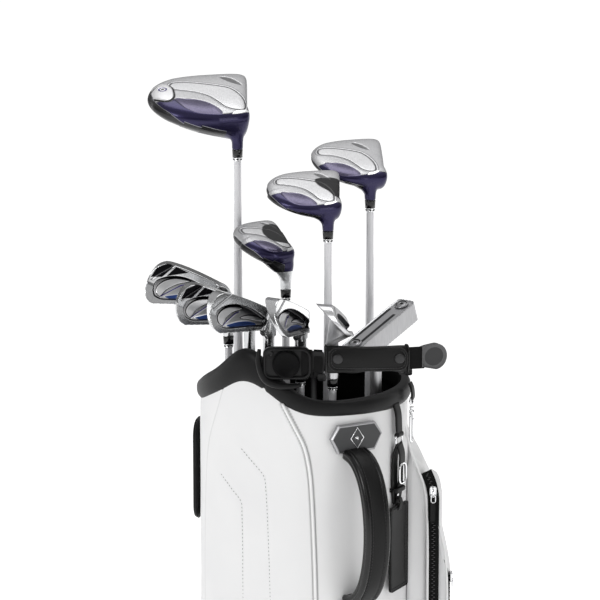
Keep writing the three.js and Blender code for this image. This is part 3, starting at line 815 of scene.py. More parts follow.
def make_divider():
    """Padded cross bars with rounded tops, and their sleeves down to the floor."""
    span = 2.2
    bars = []
    for run in ("x", "y"):
        limit = CUFF_THICK - 5.5
        if run == "x":
            reach = HALF_X * math.sqrt(1 - (DIVIDER_Y / HALF_Y) ** 2) - limit
            line = [(t, DIVIDER_Y, 0) for t in np.linspace(-reach, reach, 90)]
        else:
            reach = HALF_Y * math.sqrt(1 - (DIVIDER_X / HALF_X) ** 2) - limit
            line = [(DIVIDER_X, t, 0) for t in np.linspace(-reach, reach, 90)]
        profile = [(-span, FLOOR_TOP + GAP), (-span, 780), (-span - 1.2, 800), (-span - 1.4, DIVIDER_TOP - 6)]
        turn = np.linspace(math.pi, 0, 9)
        roll = [(math.cos(t) * (span + 1.4), DIVIDER_TOP - 4 + math.sin(t) * 4) for t in turn]
        other = [(-x, z) for x, z in reversed(profile)]
        side = (0, 1, 0) if run == "x" else (1, 0, 0)
        section = np.array(profile + roll + other)
        sag = 1 - np.cos(np.linspace(0, 2 * math.pi, 90))
        points, faces = sweep(line, section, side=side)
        points = points.reshape(90, len(section), 3)
        points[:, :, 2] = np.abs(points[:, :, 2])
        top = points[:, :, 2] > 760
        points[:, :, 2] -= np.where(top, sag[:, None] * 1.5, 0)
        bars.append((points.reshape(-1, 3), faces))
    divider = piece("divider_bars", *together(*bars), "black_soft", "bag", "black_soft", ["club_divider"])


def make_base():
    """The moulded base: a rounded tray with a raised rim line, ribs round its foot and four pads."""
    columns = 480
    angle = np.arange(columns) / columns * 2 * math.pi
    rows = [(-30, 2.5), (-8, 2.5), (-2, 1.6), (2, 1.2), (4.2, 3), (5, 7), (5, 16), (4.2, 17), (4.2, 19),
            (5, 20), (5, 44), (4.2, 45), (4.2, 47), (5, 48), (5, 56), (4.4, 59), (3, 60), (1.6, 60),
            (0.6, 59), (0.4, 40), (0.2, BASE_SEAT), (-WALL - 1, BASE_SEAT), (-WALL - 3, BASE_SEAT - 1),
            (-WALL - 3.2, FLOOR_TOP + 3), (-WALL - 6, FLOOR_TOP), (-60, FLOOR_TOP)]
    rib = 0.5 + 0.5 * np.cos(angle * 96)
    points = []
    for outward, height in rows:
        ribbed = outward + (0.7 * rib - 0.7 if 20 <= height <= 44 and outward >= 4 else 0)
        x, y = oval(angle, ribbed)
        points.append(np.column_stack([x, y, np.full(columns, float(height))]))
    faces = grid_faces(len(rows), columns)
    faces += [tuple(range(columns)), tuple(range((len(rows) - 1) * columns, len(rows) * columns))]
    tray = (np.concatenate(points), faces)
    pads = []
    for a in (45, 135, 225, 315):
        x, y = oval(math.radians(a), -22)
        disc = lathe([(0, 0), (15, 0), (17, 1.2), (17, 4), (0, 4)], 32)
        pads.append(shift(disc, (x, y, 0)))
    piece("base_tray", *tray, "black_plastic", "bag", "black_plastic", ["bag_base"])
    piece("base_feet", *together(*pads), "grip_rubber", "bag", "black_plastic")


# ---------------------------------------------------------------- handle and plate

HANDLE_ANGLE, HANDLE_TOP, HANDLE_BOTTOM, HANDLE_REACH = 297, 802, 622, 61
HANDLE_WIDTH, HANDLE_THICK = 32, 13
PLATE_ANGLE = HANDLE_ANGLE + 1
PLATE_HEIGHT, PLATE_WIDTH, PLATE_DEEP, PLATE_STAND = 820.5, 67, 32.5, 1.4


def handle_line(step=2.0):
    """The handle's middle line as [outward, height]: a smooth bow from under the plate."""
    top, bottom = HANDLE_TOP + 1, HANDLE_BOTTOM + 10
    middle, half = (top + bottom) / 2, (top - bottom) / 2
    bow = [(0, HANDLE_REACH * math.sin(t) ** 0.75 - 6, middle + half * math.cos(t))
           for t in np.linspace(0.10, math.pi - 0.10, 15)]
    return smooth_line(bow, step)


def make_handle():
    """A leather-wrapped grab handle: a broad crowned band between two thick rolled edges."""
    line = handle_line()
    section = rounded_box_section(HANDLE_WIDTH - 6, HANDLE_THICK, 3.4, 64)
    crown = 1 + 0.10 * np.cos(section[:, 0] / (HANDLE_WIDTH - 6) * math.pi)
    section[:, 1] *= crown / 1.1
    band = on_wall(sweep(line, section, side=(1, 0, 0)), HANDLE_ANGLE, 0, 0)
    grip = piece("handle_grip", *band, "black_leather", "bag", "black_leather", ["grab_handle"])
    ahead = np.gradient(line, axis=0)
    ahead /= np.linalg.norm(ahead, axis=1)[:, None]
    outwards = np.cross((1, 0, 0), ahead)
    if outwards[len(outwards) // 2][1] < 0:
        outwards = -outwards
    threads, rolls = [], []
    t = np.arange(28) / 28 * 2 * math.pi
    for side in (-1, 1):
        # A rolled edge: an oval tube with its own seam sunk along the outer side.
        seam = 1.4 * np.exp(-((np.mod(t + (0 if side > 0 else math.pi) + math.pi, 2 * math.pi) - math.pi)
                              / 0.22) ** 2)
        roll = np.column_stack([(4.2 - seam) * np.cos(t), (6.4 - seam) * np.sin(t)])
        edge_line = line + np.array([side * (HANDLE_WIDTH / 2 - 4.2), 0, 0])
        rolls.append(sweep(edge_line, roll, side=(1, 0, 0)))
        row = line + outwards * 6.1 + np.array([side * 8.2, 0, 0])
        threads.append(stitches(row, outwards, 2.4, 1.4, 0.32))
    stitched = on_wall(together(*threads), HANDLE_ANGLE, 0, 0)
    piece("handle_stitching", *stitched, "black_thread", "bag", "black_leather")
    edges = piece("handle_edges", *on_wall(together(*rolls), HANDLE_ANGLE, 0, 0), "black_edge", "bag",
                  "black_leather")
    # The lower end tucks under a plain patch.
    patch = plate(rounded_outline(46, 30, 7), [[0, 0.6], [0.8, 0], [2.2, 0], [2.8, 0.8]], 4)
    points, faces = patch
    turned = np.column_stack([points[:, 0], points[:, 2], points[:, 1]])
    piece("handle_patch", *on_wall((turned, faces), HANDLE_ANGLE, HANDLE_BOTTOM - 7, 0.8), "black_leather",
          "bag", "black_leather")


def hexagon(width, height, inset=0.0):
    x, y = width / 2 - inset, height / 2 - inset
    return [(-x, 0.1 * y), (-x * 0.72, -y), (x * 0.72, -y), (x, 0.1 * y), (x * 0.72, y), (-x * 0.72, y)]


def wall_plate(outline, layers, spacing, angle, height, outward):
    """A plate drawn in the wall's own plane, whose layers count outward."""
    points, faces = plate(outline, layers, spacing)
    return on_wall((np.column_stack([points[:, 0], points[:, 2], points[:, 1]]), faces), angle, height,
                   outward)


def make_handle_plate():
    """Hexagonal cast plate: dull silver rim, sunk grey field and a plain lozenge in place of a badge."""
    frame_plate = wall_plate(hexagon(PLATE_WIDTH, PLATE_DEEP),
                             [[0, 0], [3.8, 0], [5.2, 1.2], [5.2, 2.2], [4.0, 2.6]], 3,
                             PLATE_ANGLE, PLATE_HEIGHT, PLATE_STAND)
    piece("plate_rim", *frame_plate, "plate_silver", "bag", "plate_grey", ["handle_plate"], smooth=False)
    field = wall_plate(hexagon(PLATE_WIDTH, PLATE_DEEP, 2.0), [[4.0, 0.2], [4.9, 0], [5.0, 0.3]], 2,
                       PLATE_ANGLE, PLATE_HEIGHT, PLATE_STAND)
    piece("plate_field", *field, "plate_grey", "bag", "plate_grey", smooth=False)
    lozenge = [(0, -12), (8.5, 0), (0, 12), (-8.5, 0)]
    ring = np.array([(x, 0, z) for x, z in lozenge], float)
    bars = sweep(ring, ring_section(0.9, 8, 0.7), side=(0, 1, 0), closed=True)
    dot = lathe([(0, 0), (2.2, 0), (2.0, 0.8), (0, 1.0)], 24)
    dot = (np.column_stack([dot[0][:, 0], dot[0][:, 2], dot[0][:, 1]]), dot[1])
    badge = together(shift(bars, (0, 5.3, 0)), shift(dot, (0, 4.9, 0)))
    piece("plate_badge", *on_wall(badge, PLATE_ANGLE, PLATE_HEIGHT, PLATE_STAND), "chrome", "bag", "chrome")


# ---------------------------------------------------------------- the strap across the mouth

STRAP_FALL, STRAP_FRONT, STRAP_BEND = 0.06, -133, 0.002
ANCHOR_X, ANCHOR_HEIGHT = -19, 909.5
SLEEVE_HEIGHT, TAB_HEIGHT = 915.5, 916


def strap_front(x):
    return STRAP_FRONT + STRAP_BEND * np.maximum(0, x) ** 2


def along_strap(mesh_data, x=0.0, z=0.0, out=0.0):
    """Carries points from a flat frame (x along, y outward to the viewer, z up) to the bent strap."""
    points, faces = mesh_data
    p = np.asarray(points, float)
    run = p[:, 0] + x
    slope = np.arctan(2 * STRAP_BEND * np.maximum(0, run))
    forward = p[:, 1] + out
    moved = np.column_stack([
        run + forward * np.sin(slope),
        strap_front(run) - forward * np.cos(slope),
        p[:, 2] + z - STRAP_FALL * np.maximum(0, run),
    ])
    return moved, faces


def upright(mesh_data):
    """Stands a plate drawn facing up so that its layers count towards the viewer."""
    points, faces = mesh_data
    p = np.asarray(points, float)
    return np.column_stack([p[:, 0], p[:, 2], p[:, 1]]), faces


def strap_plate(outline, layers, spacing, x, z, out):
    return along_strap(upright(plate(outline, layers, spacing)), x, z, out)


def soft_layers(thick, edge, count=4):
    """Layers of a plate with a rounded edge on both faces."""
    t = np.linspace(0, math.pi / 2, count)
    low = [[edge - edge * math.cos(math.pi / 2 - a), edge - edge * math.sin(a)] for a in t]
    high = [[thick - h, i] for h, i in reversed(low)]
    return low + high


def make_anchor():
    """The moulded anchor at the left: plate with a raised rim, rivet, and the tongue behind the webbing."""
    outline = rounded_outline(54, 36, 9)
    body = strap_plate(outline, soft_layers(9.5, 1.6), 2.5, ANCHOR_X, ANCHOR_HEIGHT, -4.6)
    rim_line = np.array([(x, 0, z) for x, z in rounded_outline(50, 32, 8)])
    rim = along_strap(sweep(rim_line, ring_section(1.5, 10), side=(0, 1, 0), closed=True), ANCHOR_X,
                      ANCHOR_HEIGHT, 4.9)
    tongue = strap_plate(rounded_outline(24, 24, 3), soft_layers(4, 0.8), 3, 10, 912, 0.0)
    piece("anchor_plate", *together(body, rim, tongue), "black_plastic", "bag", "black_plastic",
          ["strap_anchor"])
    rivet = upright(lathe([(0, 0), (4.3, 0), (4.3, 0.7), (3.6, 1.3), (2.4, 1.3), (2.0, 0.8), (0, 0.9)], 28))
    piece("anchor_rivet", *along_strap(rivet, -38.5, 921, 4.8), "black_plastic", "bag", "black_plastic")
    dished = [(0, 0), (14.9, 0), (15.4, 0.8), (15.4, 2.6), (14.8, 3.6), (13.8, 4.0), (12.6, 3.7), (11, 2.9),
              (8, 2.0), (4, 1.6), (0, 1.5)]
    disc = along_strap(upright(lathe(dished, 64)), -20, 909, 5.0)
    piece("anchor_disc", *disc, "black_deep", "bag", "black_plastic", ["strap_magnet_left"])
    # A thick soft lip of the collar frames the anchor at its left and lower edge.
    lip = smooth_line([(-50, -131, 925), (-51, -134, 912), (-48, -136, 899), (-42, -137, 890),
                       (-31, -137, 885), (-16, -136.5, 883.5), (-4, -134, 884)], 1.5)
    taper = np.sin(np.linspace(0.12, math.pi - 0.12, len(lip))) ** 0.35
    points, faces = sweep(lip, ring_section(5.0, 20, 0.8), side=(0, 1, 0))
    points = points.reshape(len(lip), 20, 3)
    points = lip[:, None] + (points - lip[:, None]) * taper[:, None, None]
    piece("cuff_lip", points.reshape(-1, 3), faces, "black_soft", "bag", "black_soft")


def make_webbing():
    """Two turns of webbing by the anchor, and a length between the sleeve and the right tab."""
    turns = []
    for middle, width, out in [(3.0, 12.5, 5.0), (15.5, 10.0, 3.4)]:
        line = np.array([(0, 0, z) for z in np.linspace(-15.5, 15.5, 40)])
        bow = np.sqrt(np.clip(1 - (line[:, 2] / 16.6) ** 2, 0, 1))
        line[:, 1] = bow * 4.2 - 3.0
        band = sweep(line, rounded_box_section(width, 1.7, 5, 28), side=(1, 0, 0))
        turns.append(along_strap(band, middle, 910, out - 1.6))
    piece("webbing_left", *together(*turns), "webbing", "bag", "webbing")
    line = np.array([(x, 0, 0) for x in np.linspace(116.5, 134, 20)])
    right = []
    for out in (0.2, 2.2):
        band = sweep(line, rounded_box_section(1.6, 25, 6, 40), side=(0, 1, 0))
        right.append(along_strap(band, 0, TAB_HEIGHT, out))
    piece("webbing_right", *together(*right), "webbing", "mouth_strap", "webbing", ["strap_webbing_right"])


def make_sleeve():
    """The padded leather sleeve: a crowned roll with pinched, piped ends."""
    start, end, around, steps = 22.6, 117.0, 56, 110
    t = np.arange(around) / around * 2 * math.pi
    c, s = np.cos(t), np.sin(t)
    rows = []
    for x in np.linspace(start, end, steps):
        u = (x - start) / (end - start)
        edge = 1 - 0.30 * (abs(2 * u - 1) ** 14)
        crown = 1 + 0.05 * math.sin(math.pi * u)
        tall = 15.4 * (0.97 + 0.03 * math.cos(2 * math.pi * u)) * (1 - 0.06 * (abs(2 * u - 1) ** 14))
        thick = 5.6 * edge * crown
        y = np.sign(c) * np.abs(c) ** (2 / 3.0) * thick - 0.5
        z = np.sign(s) * np.abs(s) ** (2 / 3.4) * tall
        # The under edge hangs in shallow folds.
        z = z - np.clip(-s, 0, 1) * (1.1 * math.sin(2.2 * math.pi * u) + 0.5 * math.sin(7 * math.pi * u))
        rows.append(np.column_stack([np.full(around, x), y, z]))
    faces = grid_faces(steps, around) + [tuple(range(around)),
                                         tuple(range((steps - 1) * around, steps * around))]
    sleeve = along_strap((np.concatenate(rows), faces), 0, SLEEVE_HEIGHT, 0)
    roll = piece("sleeve_roll", *sleeve, "black_leather", "mouth_strap", "black_leather", ["strap_sleeve"])
    ends = []
    for x in (start + 1.6, end - 1.6):
        loop = np.array([(x, py * 5.6 - 0.5, pz * 15.8) for py, pz in rounded_box_section(2, 2, 3.2, 60)])
        ends.append(along_strap(sweep(loop, ring_section(0.9, 8), side=(1, 0, 0), closed=True), 0,
                                SLEEVE_HEIGHT, 0))
    piece("sleeve_piping", *together(*ends), "black_edge", "mouth_strap", "black_leather")
    keepers = []
    for x, z, w in [(19.5, 894.5, 9), (116, 900.5, 8)]:
        block = strap_plate(rounded_outline(w, 8, 2), soft_layers(6, 1.2), 2, x, z, -2.5)
        keepers.append(block)
    piece("strap_keepers", *keepers[0], "black_plastic", "bag", "black_plastic")
    piece("strap_keeper_right", *keepers[1], "black_plastic", "mouth_strap", "black_plastic")


FLAP_LEFT, FLAP_RIGHT = 26.5, 113.5
FLAP_LOW, FLAP_HIGH = 903.5, 929.5


def flap_skin(base, x, z, width):
    """The flap's depth at a place on it: level on the front, bending back along the top, rippled below."""
    back = 0.012 * np.clip(z + 1, 0, 99) ** 2.0 + 0.004 * np.clip(-z, 0, 99) ** 2
    return base - back + 0.35 * np.sin((x + width / 2) / width * 3 * math.pi) * smoothstep(-z, 2, 12)


def make_flap():
    """The sleeve's flap: thin leather over the front with a turned edge, stitches and two snaps."""
    middle, width = (FLAP_LEFT + FLAP_RIGHT) / 2, FLAP_RIGHT - FLAP_LEFT
    height = FLAP_HIGH - FLAP_LOW
    outline = rounded_outline(width, height, 9)
    points, faces = upright(plate(outline, soft_layers(2.0, 0.8), 1.6))
    points[:, 1] += flap_skin(5.2, points[:, 0], points[:, 2], width)
    edge = signed_distance(points[:, [0, 2]], outline)
    channel = np.exp(-((edge + 3.0) / 0.7) ** 2)
    front = points[:, 1] > flap_skin(6.2, points[:, 0], points[:, 2], width)
    points[:, 1] -= np.where(front, 0.5 * channel, 0)
    flap = along_strap((points, faces), middle, (FLAP_LOW + FLAP_HIGH) / 2, 0)
    piece("flap_leather", *flap, "black_leather", "strap_cover", "black_leather", ["strap_flap"])

    def over(x, z):
        return flap_skin(7.1, x, z, width)

    inner = np.array(rounded_outline(width - 6, height - 6, 6.5))
    inner = inner[np.argsort(np.mod(np.arctan2(inner[:, 0], -inner[:, 1]) - math.pi, 2 * math.pi))]
    row = np.column_stack([inner[:, 0], over(inner[:, 0], inner[:, 1]), inner[:, 1]])
    row = smooth_line(row, 1.2)
    normals = np.tile((0.0, 1.0, 0.0), (len(row), 1))
    threads = along_strap(stitches(row, normals, 2.1, 1.0, 0.34), middle, (FLAP_LOW + FLAP_HIGH) / 2, -0.1)
    piece("flap_stitching", *threads, "black_thread", "strap_cover", "black_leather")
    edge = np.array(rounded_outline(width - 0.6, height - 0.6, 8.7))
    edge = np.column_stack([edge[:, 0], over(edge[:, 0], edge[:, 1]) - 1.0, edge[:, 1]])
    rolled = sweep(edge, ring_section(0.95, 8), side=(0, 1, 0), closed=True)
    piece("flap_edge", *along_strap(rolled, middle, (FLAP_LOW + FLAP_HIGH) / 2, 0), "black_edge",
          "strap_cover", "black_leather")
    stud = [(0, 0), (5.4, 0), (5.4, 0.8), (4.9, 1.5), (3.9, 1.9), (2.0, 2.1), (0, 2.15)]
    snaps = []
    for x in (36.5, 104.5):
        local = x - middle
        snaps.append(along_strap(upright(lathe(stud, 36)), x, 917, over(local, 0.5) - 0.6))
    piece("flap_snaps", *together(*snaps), "snap_grey", "strap_cover", "black_plastic")


def make_tab():
    """The grey moulded pull tab: a rounded paddle with a dished recess and a straight root."""
    outline = [(0, -10.5)]
    for k in range(25):
        a = math.radians(-88 + 176 * k / 24)
        outline.append((16.6 + 14.6 * math.cos(a), 14.8 * math.sin(a)))
    outline += [(6, 13.6), (0, 12.5)]
    points, faces = plate(outline, soft_layers(7, 1.9, 5), 0.9)
    away = np.hypot(points[:, 0] - 17.0, points[:, 1])
    dish = 2.4 * (1 - smoothstep(away, 7.5, 11.2))
    lip = 0.35 * np.exp(-((away - 12.0) / 0.8) ** 2)
    front = points[:, 2] > 5.5
    points[:, 2] += np.where(front, lip - dish, 0)
    root = 131 + GAP
    slope = math.atan(2 * STRAP_BEND * root)
    run, out = points[:, 0], points[:, 2] - 2.0
    placed = np.column_stack([
        root + run * math.cos(slope) + out * math.sin(slope),
        strap_front(root) + run * math.sin(slope) - out * math.cos(slope),
        points[:, 1] + TAB_HEIGHT - STRAP_FALL * root,
    ])
    paddle = piece("tab_paddle", placed, faces, "grey_plastic", "mouth_strap", "grey_plastic",
                   ["strap_tab_right"])
    middles = face_middles(paddle)
    aside = np.hypot(middles[:, 0] - (root + 17 * math.cos(slope)),
                     middles[:, 2] - TAB_HEIGHT + STRAP_FALL * root)
    second_look(paddle, "snap_grey", (aside < 10.6) & (middles[:, 1] < strap_front(root + 17) + 2))


# ---------------------------------------------------------------- tag and hook

TAG_ANGLE = 328
HANGER_HEIGHT, RING_HEIGHT, BUCKLE_HEIGHT, TAG_HEIGHT = 828, 806, 768, 680


def make_tag():
    """Hanger, ring, buckled loop and a flat leather tag with a stitched edge."""
    hang = smooth_line([(0, 2.0, 20), (0, 5.2, 8), (0, 6.0, -4), (0, 6.6, -17)], 1.5)
    hanger = sweep(hang, rounded_box_section(13, 3, 5, 32), side=(1, 0, 0))
    roll = sweep(np.array([(x, 6.6, -15.6) for x in np.linspace(-6.2, 6.2, 8)]), ring_section(3.0, 16),
                 side=(0, 1, 0))
    piece("tag_hanger_strap", *on_wall(together(hanger, roll), TAG_ANGLE, HANGER_HEIGHT, 0.8),
          "black_leather", "bag",
          "black_leather", ["tag_hanger"])
    t = np.arange(64) / 64 * 2 * math.pi
    circle = np.column_stack([7.4 * np.cos(t), np.zeros(64), 7.4 * np.sin(t)])
    ring = sweep(circle, ring_section(1.15, 12), side=(0, 1, 0), closed=True)
    piece("tag_steel_ring", *on_wall(ring, TAG_ANGLE, RING_HEIGHT, 7), "chrome", "tag_loop", "chrome",
          ["tag_ring"])
    # Two straps side by side: the rear one plain, the front one buckled.
    rear = smooth_line([(1.5, 7.5, 34), (3.2, 4.2, 22), (3.8, 3.2, 0), (3.0, 3.2, -22), (1.0, 3.6, -36)], 1.5)
    front = smooth_line([(0.5, 7.5, 34), (-2.6, 9.2, 22), (-4.4, 8.2, 4), (-4.2, 7.2, -12),
                         (-1.6, 5.4, -30)], 1.5)
    bands = [sweep(line, rounded_box_section(12.5, 2.4, 5, 28), side=(1, 0, 0)) for line in (rear, front)]
    keeper = sweep(np.array([(x, y, -20) for x, y in rounded_outline(22, 10, 3)]),
                   rounded_box_section(1.4, 5, 4, 16), side=(0, 1, 0), closed=True)
    bands.append(shift(keeper, (-0.5, 4.6, 0)))
    piece("tag_buckle_strap", *on_wall(together(*bands), TAG_ANGLE, BUCKLE_HEIGHT, 0.4), "black_leather",
          "tag_loop", "black_leather", ["tag_strap"])
    frame_line = np.array([(x, 0, z) for x, z in rounded_outline(15.5, 23, 6)])
    buckle = shift(sweep(frame_line, ring_section(1.25, 10), side=(0, 1, 0), closed=True), (-4.6, 9.6, -2))
    pin = sweep(np.array([(-4.6, 10.2, z) for z in np.linspace(-11, 8, 12)]), ring_section(0.8, 8))
    rivet = lathe([(0, 0), (2.2, 0), (1.8, 1.2), (0, 1.5)], 20)
    rivet = (np.column_stack([rivet[0][:, 0] + 1.5, rivet[0][:, 2] + 6.2, rivet[0][:, 1] - 26]), rivet[1])
    piece("tag_buckle", *on_wall(together(buckle, pin, rivet), TAG_ANGLE, BUCKLE_HEIGHT, 0.4), "chrome",
          "tag_loop", "chrome")

    outline = rounded_outline(44, 100, 3.5)
    points, faces = upright(plate(outline, soft_layers(3.2, 0.9), 2.5))
    edge = signed_distance(points[:, [0, 2]], outline)
    front_face = points[:, 1] > 1.6
    points[:, 1] -= np.where(front_face, 0.45 * np.exp(-((edge + 3.2) / 0.8) ** 2), 0)
    curl = 0.0006 * points[:, 2] ** 2 + 0.9 * np.sin(points[:, 0] / 22)
    points[:, 1] += curl
    tag = on_wall((points, faces), TAG_ANGLE, TAG_HEIGHT, 4.6)
    piece("tag_leather", *tag, "black_leather", "tag", "black_leather", ["luggage_tag"])
    row = np.array(rounded_outline(37.6, 93.6, 1.8))
    row = np.vstack([row, row[:1]])
    row = smooth_line(np.column_stack([row[:, 0], np.zeros(len(row)), row[:, 1]]), 2.0)
    row[:, 1] = 3.0 + 0.0006 * row[:, 2] ** 2 + 0.9 * np.sin(row[:, 0] / 22)
    normals = np.tile((0.0, 1.0, 0.0), (len(row), 1))
    threads = on_wall(stitches(row, normals, 2.4, 1.3, 0.34), TAG_ANGLE, TAG_HEIGHT, 4.6)
    piece("tag_stitching", *threads, "black_thread", "tag", "black_leather")
    link = sweep(smooth_line([(0, 2.0, 44), (0, 4.5, 52), (0, 2.0, 58), (0, -0.6, 54), (0, -0.8, 46)], 1.2),
                 rounded_box_section(8, 1.6, 4, 20), side=(1, 0, 0))
    piece("tag_link", *on_wall(link, TAG_ANGLE, TAG_HEIGHT, 6.2), "black_leather", "tag", "black_leather")


HOOK_ANGLE, HOOK_HEIGHT = 340, 821


def make_hook():
    """A metal snap hook under a leather loop, with a gate and a swivel eye."""
    loop = smooth_line([(0, -1.5, 46), (0, 1.2, 40), (0, 2.0, 28), (0, -0.4, 24)], 1.5)
    strap = sweep(loop, rounded_box_section(10, 2.8, 5, 32), side=(1, 0, 0))
    piece("hook_loop", *on_wall(strap, HOOK_ANGLE, HOOK_HEIGHT, 10), "black_leather", "hook", "black_leather")
    body = np.array([(x, 1.8, z) for x, z in rounded_outline(10.5, 34, 5.0)])
    hook = sweep(body, ring_section(1.5, 12), side=(0, 1, 0), closed=True)
    gate = sweep(np.array([(-5.2, 1.8, z) for z in np.linspace(-10, 9, 16)]), ring_section(1.9, 12))
    swivel = lathe([(0, 15), (3.2, 15), (3.4, 17), (2.2, 18.5), (2.2, 21), (3.0, 22), (0, 22)], 24)
    eye = np.array([(x, 1.8, z + 25) for x, z in rounded_outline(10, 8, 3)])
    ring = sweep(eye, ring_section(1.2, 10), side=(0, 1, 0), closed=True)
    parts = together(shift(hook, (0, 0, -6)), shift(gate, (0, 0, -6)), shift(swivel, (0, 1.8, -4.5)), ring)
    piece("hook_metal", *on_wall(parts, HOOK_ANGLE, HOOK_HEIGHT, 9), "chrome", "hook", "chrome",
          ["snap_hook"])


# ---------------------------------------------------------------- pockets and shoulder pad

POCKET_Y = 12
POCKET_REACH = 24
GUSSET_X = HALF_X + POCKET_REACH + GAP


def inflated(name, node, look, body, voxel, pressure, cap, seed_shrink=0.6, subdivide=True):
    """A padded piece from its CAD solid: remeshed, blown up a little as cloth, capped and smoothed."""
    source = frame["nodes"][node]
    obj = bpy.data.objects.new(name, source.data.copy())
    scene.collection.objects.link(obj)
    obj.data.materials.clear()
    modified(obj, "REMESH", mode="VOXEL", voxel_size=voxel * MM)
    modified(obj, "SMOOTH", factor=0.5, iterations=3)
    normals = np.empty(len(obj.data.vertices) * 3)
    obj.data.vertices.foreach_get("normal", normals)
    rest = corners(obj) - normals.reshape(-1, 3) * seed_shrink * MM
    move_corners(obj, rest)
    cloth = obj.modifiers.new("cloth", "CLOTH")
    cloth.settings.use_pressure = True
    cloth.settings.uniform_pressure_force = pressure
    cloth.settings.effector_weights.gravity = 0
    cloth.settings.quality = 4
    cloth.point_cache.frame_start = 1
    cloth.point_cache.frame_end = 20
    for step in range(1, 21):
        scene.frame_set(step)
    dg = bpy.context.evaluated_depsgraph_get()
    mesh = bpy.data.meshes.new_from_object(obj.evaluated_get(dg))
    blown = np.empty(len(mesh.vertices) * 3)
    mesh.vertices.foreach_get("co", blown)
    bpy.data.meshes.remove(mesh)
    obj.modifiers.clear()
    scene.frame_set(1)
    moved = blown.reshape(-1, 3) - rest
    reach = np.linalg.norm(moved, axis=1)[:, None]
    moved *= np.minimum(1, cap * MM / np.maximum(reach, 1e-9))
    move_corners(obj, rest + moved)
    modified(obj, "SMOOTH", factor=0.5, iterations=2)
    if subdivide:
        modified(obj, "SUBSURF", levels=1, render_levels=1)
    obj.data.shade_smooth()
    return dressed(obj, look, body, [node])


def pull_back(obj, outward):
    """Keeps a soft piece off the oval wall: points nearer than this are laid on it."""
    p = corners(obj) / MM
    angle = np.arctan2(p[:, 1] / HALF_Y, p[:, 0] / HALF_X)
    for _ in range(3):
        x, y = oval(angle, outward)
        angle = np.arctan2(p[:, 1] / (HALF_Y + outward), p[:, 0] / (HALF_X + outward))
    inside = (p[:, 0] / (HALF_X + outward)) ** 2 + (p[:, 1] / (HALF_Y + outward)) ** 2 < 1
    p[inside, 0], p[inside, 1] = x[inside], y[inside]
    move_corners(obj, p * MM)


ZIP_PITCH = 2.4


def zip_run(line, side, outward, body, name, look="webbing", width=13.0):
    """A zip along a line: tape and two rows of teeth."""
    tape = sweep(line, rounded_box_section(width, 1.2, 6, 32), side=side)
    piece(name + "_tape", *tape, look, body, "webbing")
    steps = np.concatenate([[0], np.cumsum(np.linalg.norm(np.diff(line, axis=0), axis=1))])
    ahead = np.gradient(line, axis=0)
    ahead /= np.linalg.norm(ahead, axis=1)[:, None]
    teeth = []
    at = ZIP_PITCH
    while at < steps[-1] - ZIP_PITCH:
        place = np.array([np.interp(at, steps, line[:, k]) for k in range(3)])
        run = np.array([np.interp(at, steps, ahead[:, k]) for k in range(3)])
        hand = 1 if int(round(at / ZIP_PITCH)) % 2 else -1
        middle = place + np.array(outward) * 1.0 + np.array(side) * hand * 0.9
        tooth = np.array([middle - run * 0.75, middle, middle + run * 0.75])
        teeth.append(sweep(tooth, rounded_box_section(3.0, 1.3, 4, 10), side=side))
        at += ZIP_PITCH
    piece(name + "_teeth", *together(*teeth), "black_gloss", body, "black_plastic")


def make_pockets():
    ball = inflated("ball_pocket", "side_pocket", "white_leather", "bag", 5, 4, 7)
    pull_back(ball, 1.2)
    small = inflated("front_pocket", "outer_pocket", "white_leather", "bag", 4, 4, 5)
    front_y = POCKET_Y - 42 - 1.0
    line = smooth_line([(GUSSET_X - 3.5, front_y + 1.0, 757), (GUSSET_X + 1.6, front_y, 745),
                        (GUSSET_X + 5.0, front_y - 0.6, 730),
                        (GUSSET_X + 5.4, front_y - 0.3, 700), (GUSSET_X + 5.4, front_y - 0.2, 400),
                        (GUSSET_X + 5.4, front_y - 0.2, 130)], 4.0)
    zip_run(line, (1, 0, 0), (0, -1, 0), "bag", "main_zip")
    right = GUSSET_X + 9 + 13
    line = smooth_line([(right - 5, POCKET_Y - 30, 652), (right + 0.8, POCKET_Y - 30, 636),
                        (right + 1.6, POCKET_Y - 30, 560), (right + 1.6, POCKET_Y - 30, 300),
                        (right + 1.0, POCKET_Y - 30, 150)], 4.0)
    zip_run(line, (0, 1, 0), (1, 0, 0), "bag", "small_zip")
    pull = together(*zip_puller())
    place = np.array([right + 3.0, POCKET_Y - 30, 628])
    points = np.column_stack([pull[0][:, 1], pull[0][:, 0], pull[0][:, 2]]) + place
    piece("small_zip_slider", points, pull[1], "chrome", "bag", "chrome")
    seams = []
    for y in (POCKET_Y - 44, POCKET_Y + 44):
        top = smooth_line([(HALF_X - 8, y, 826), (HALF_X + 4, y, 780), (HALF_X + 19, y, 738),
                           (HALF_X + 22.3, y, 700), (HALF_X + 22.3, y, 400), (HALF_X + 22, y, 140),
                           (HALF_X + 14, y, 108)], 4.0)
        seams.append(sweep(top, ring_section(1.5, 10), side=(0, 1, 0)))
    for y in (POCKET_Y - 43, POCKET_Y + 43):
        rim = smooth_line([(GUSSET_X + 12, y, 692), (right - 4, y, 664), (right - 0.5, y, 630),
                           (right - 0.5, y, 400), (right - 0.5, y, 150), (right - 6, y, 118)], 4.0)
        seams.append(sweep(rim, ring_section(1.3, 10), side=(0, 1, 0)))
    piece("pocket_piping", *together(*seams), "white_piping", "bag", "white_leather")


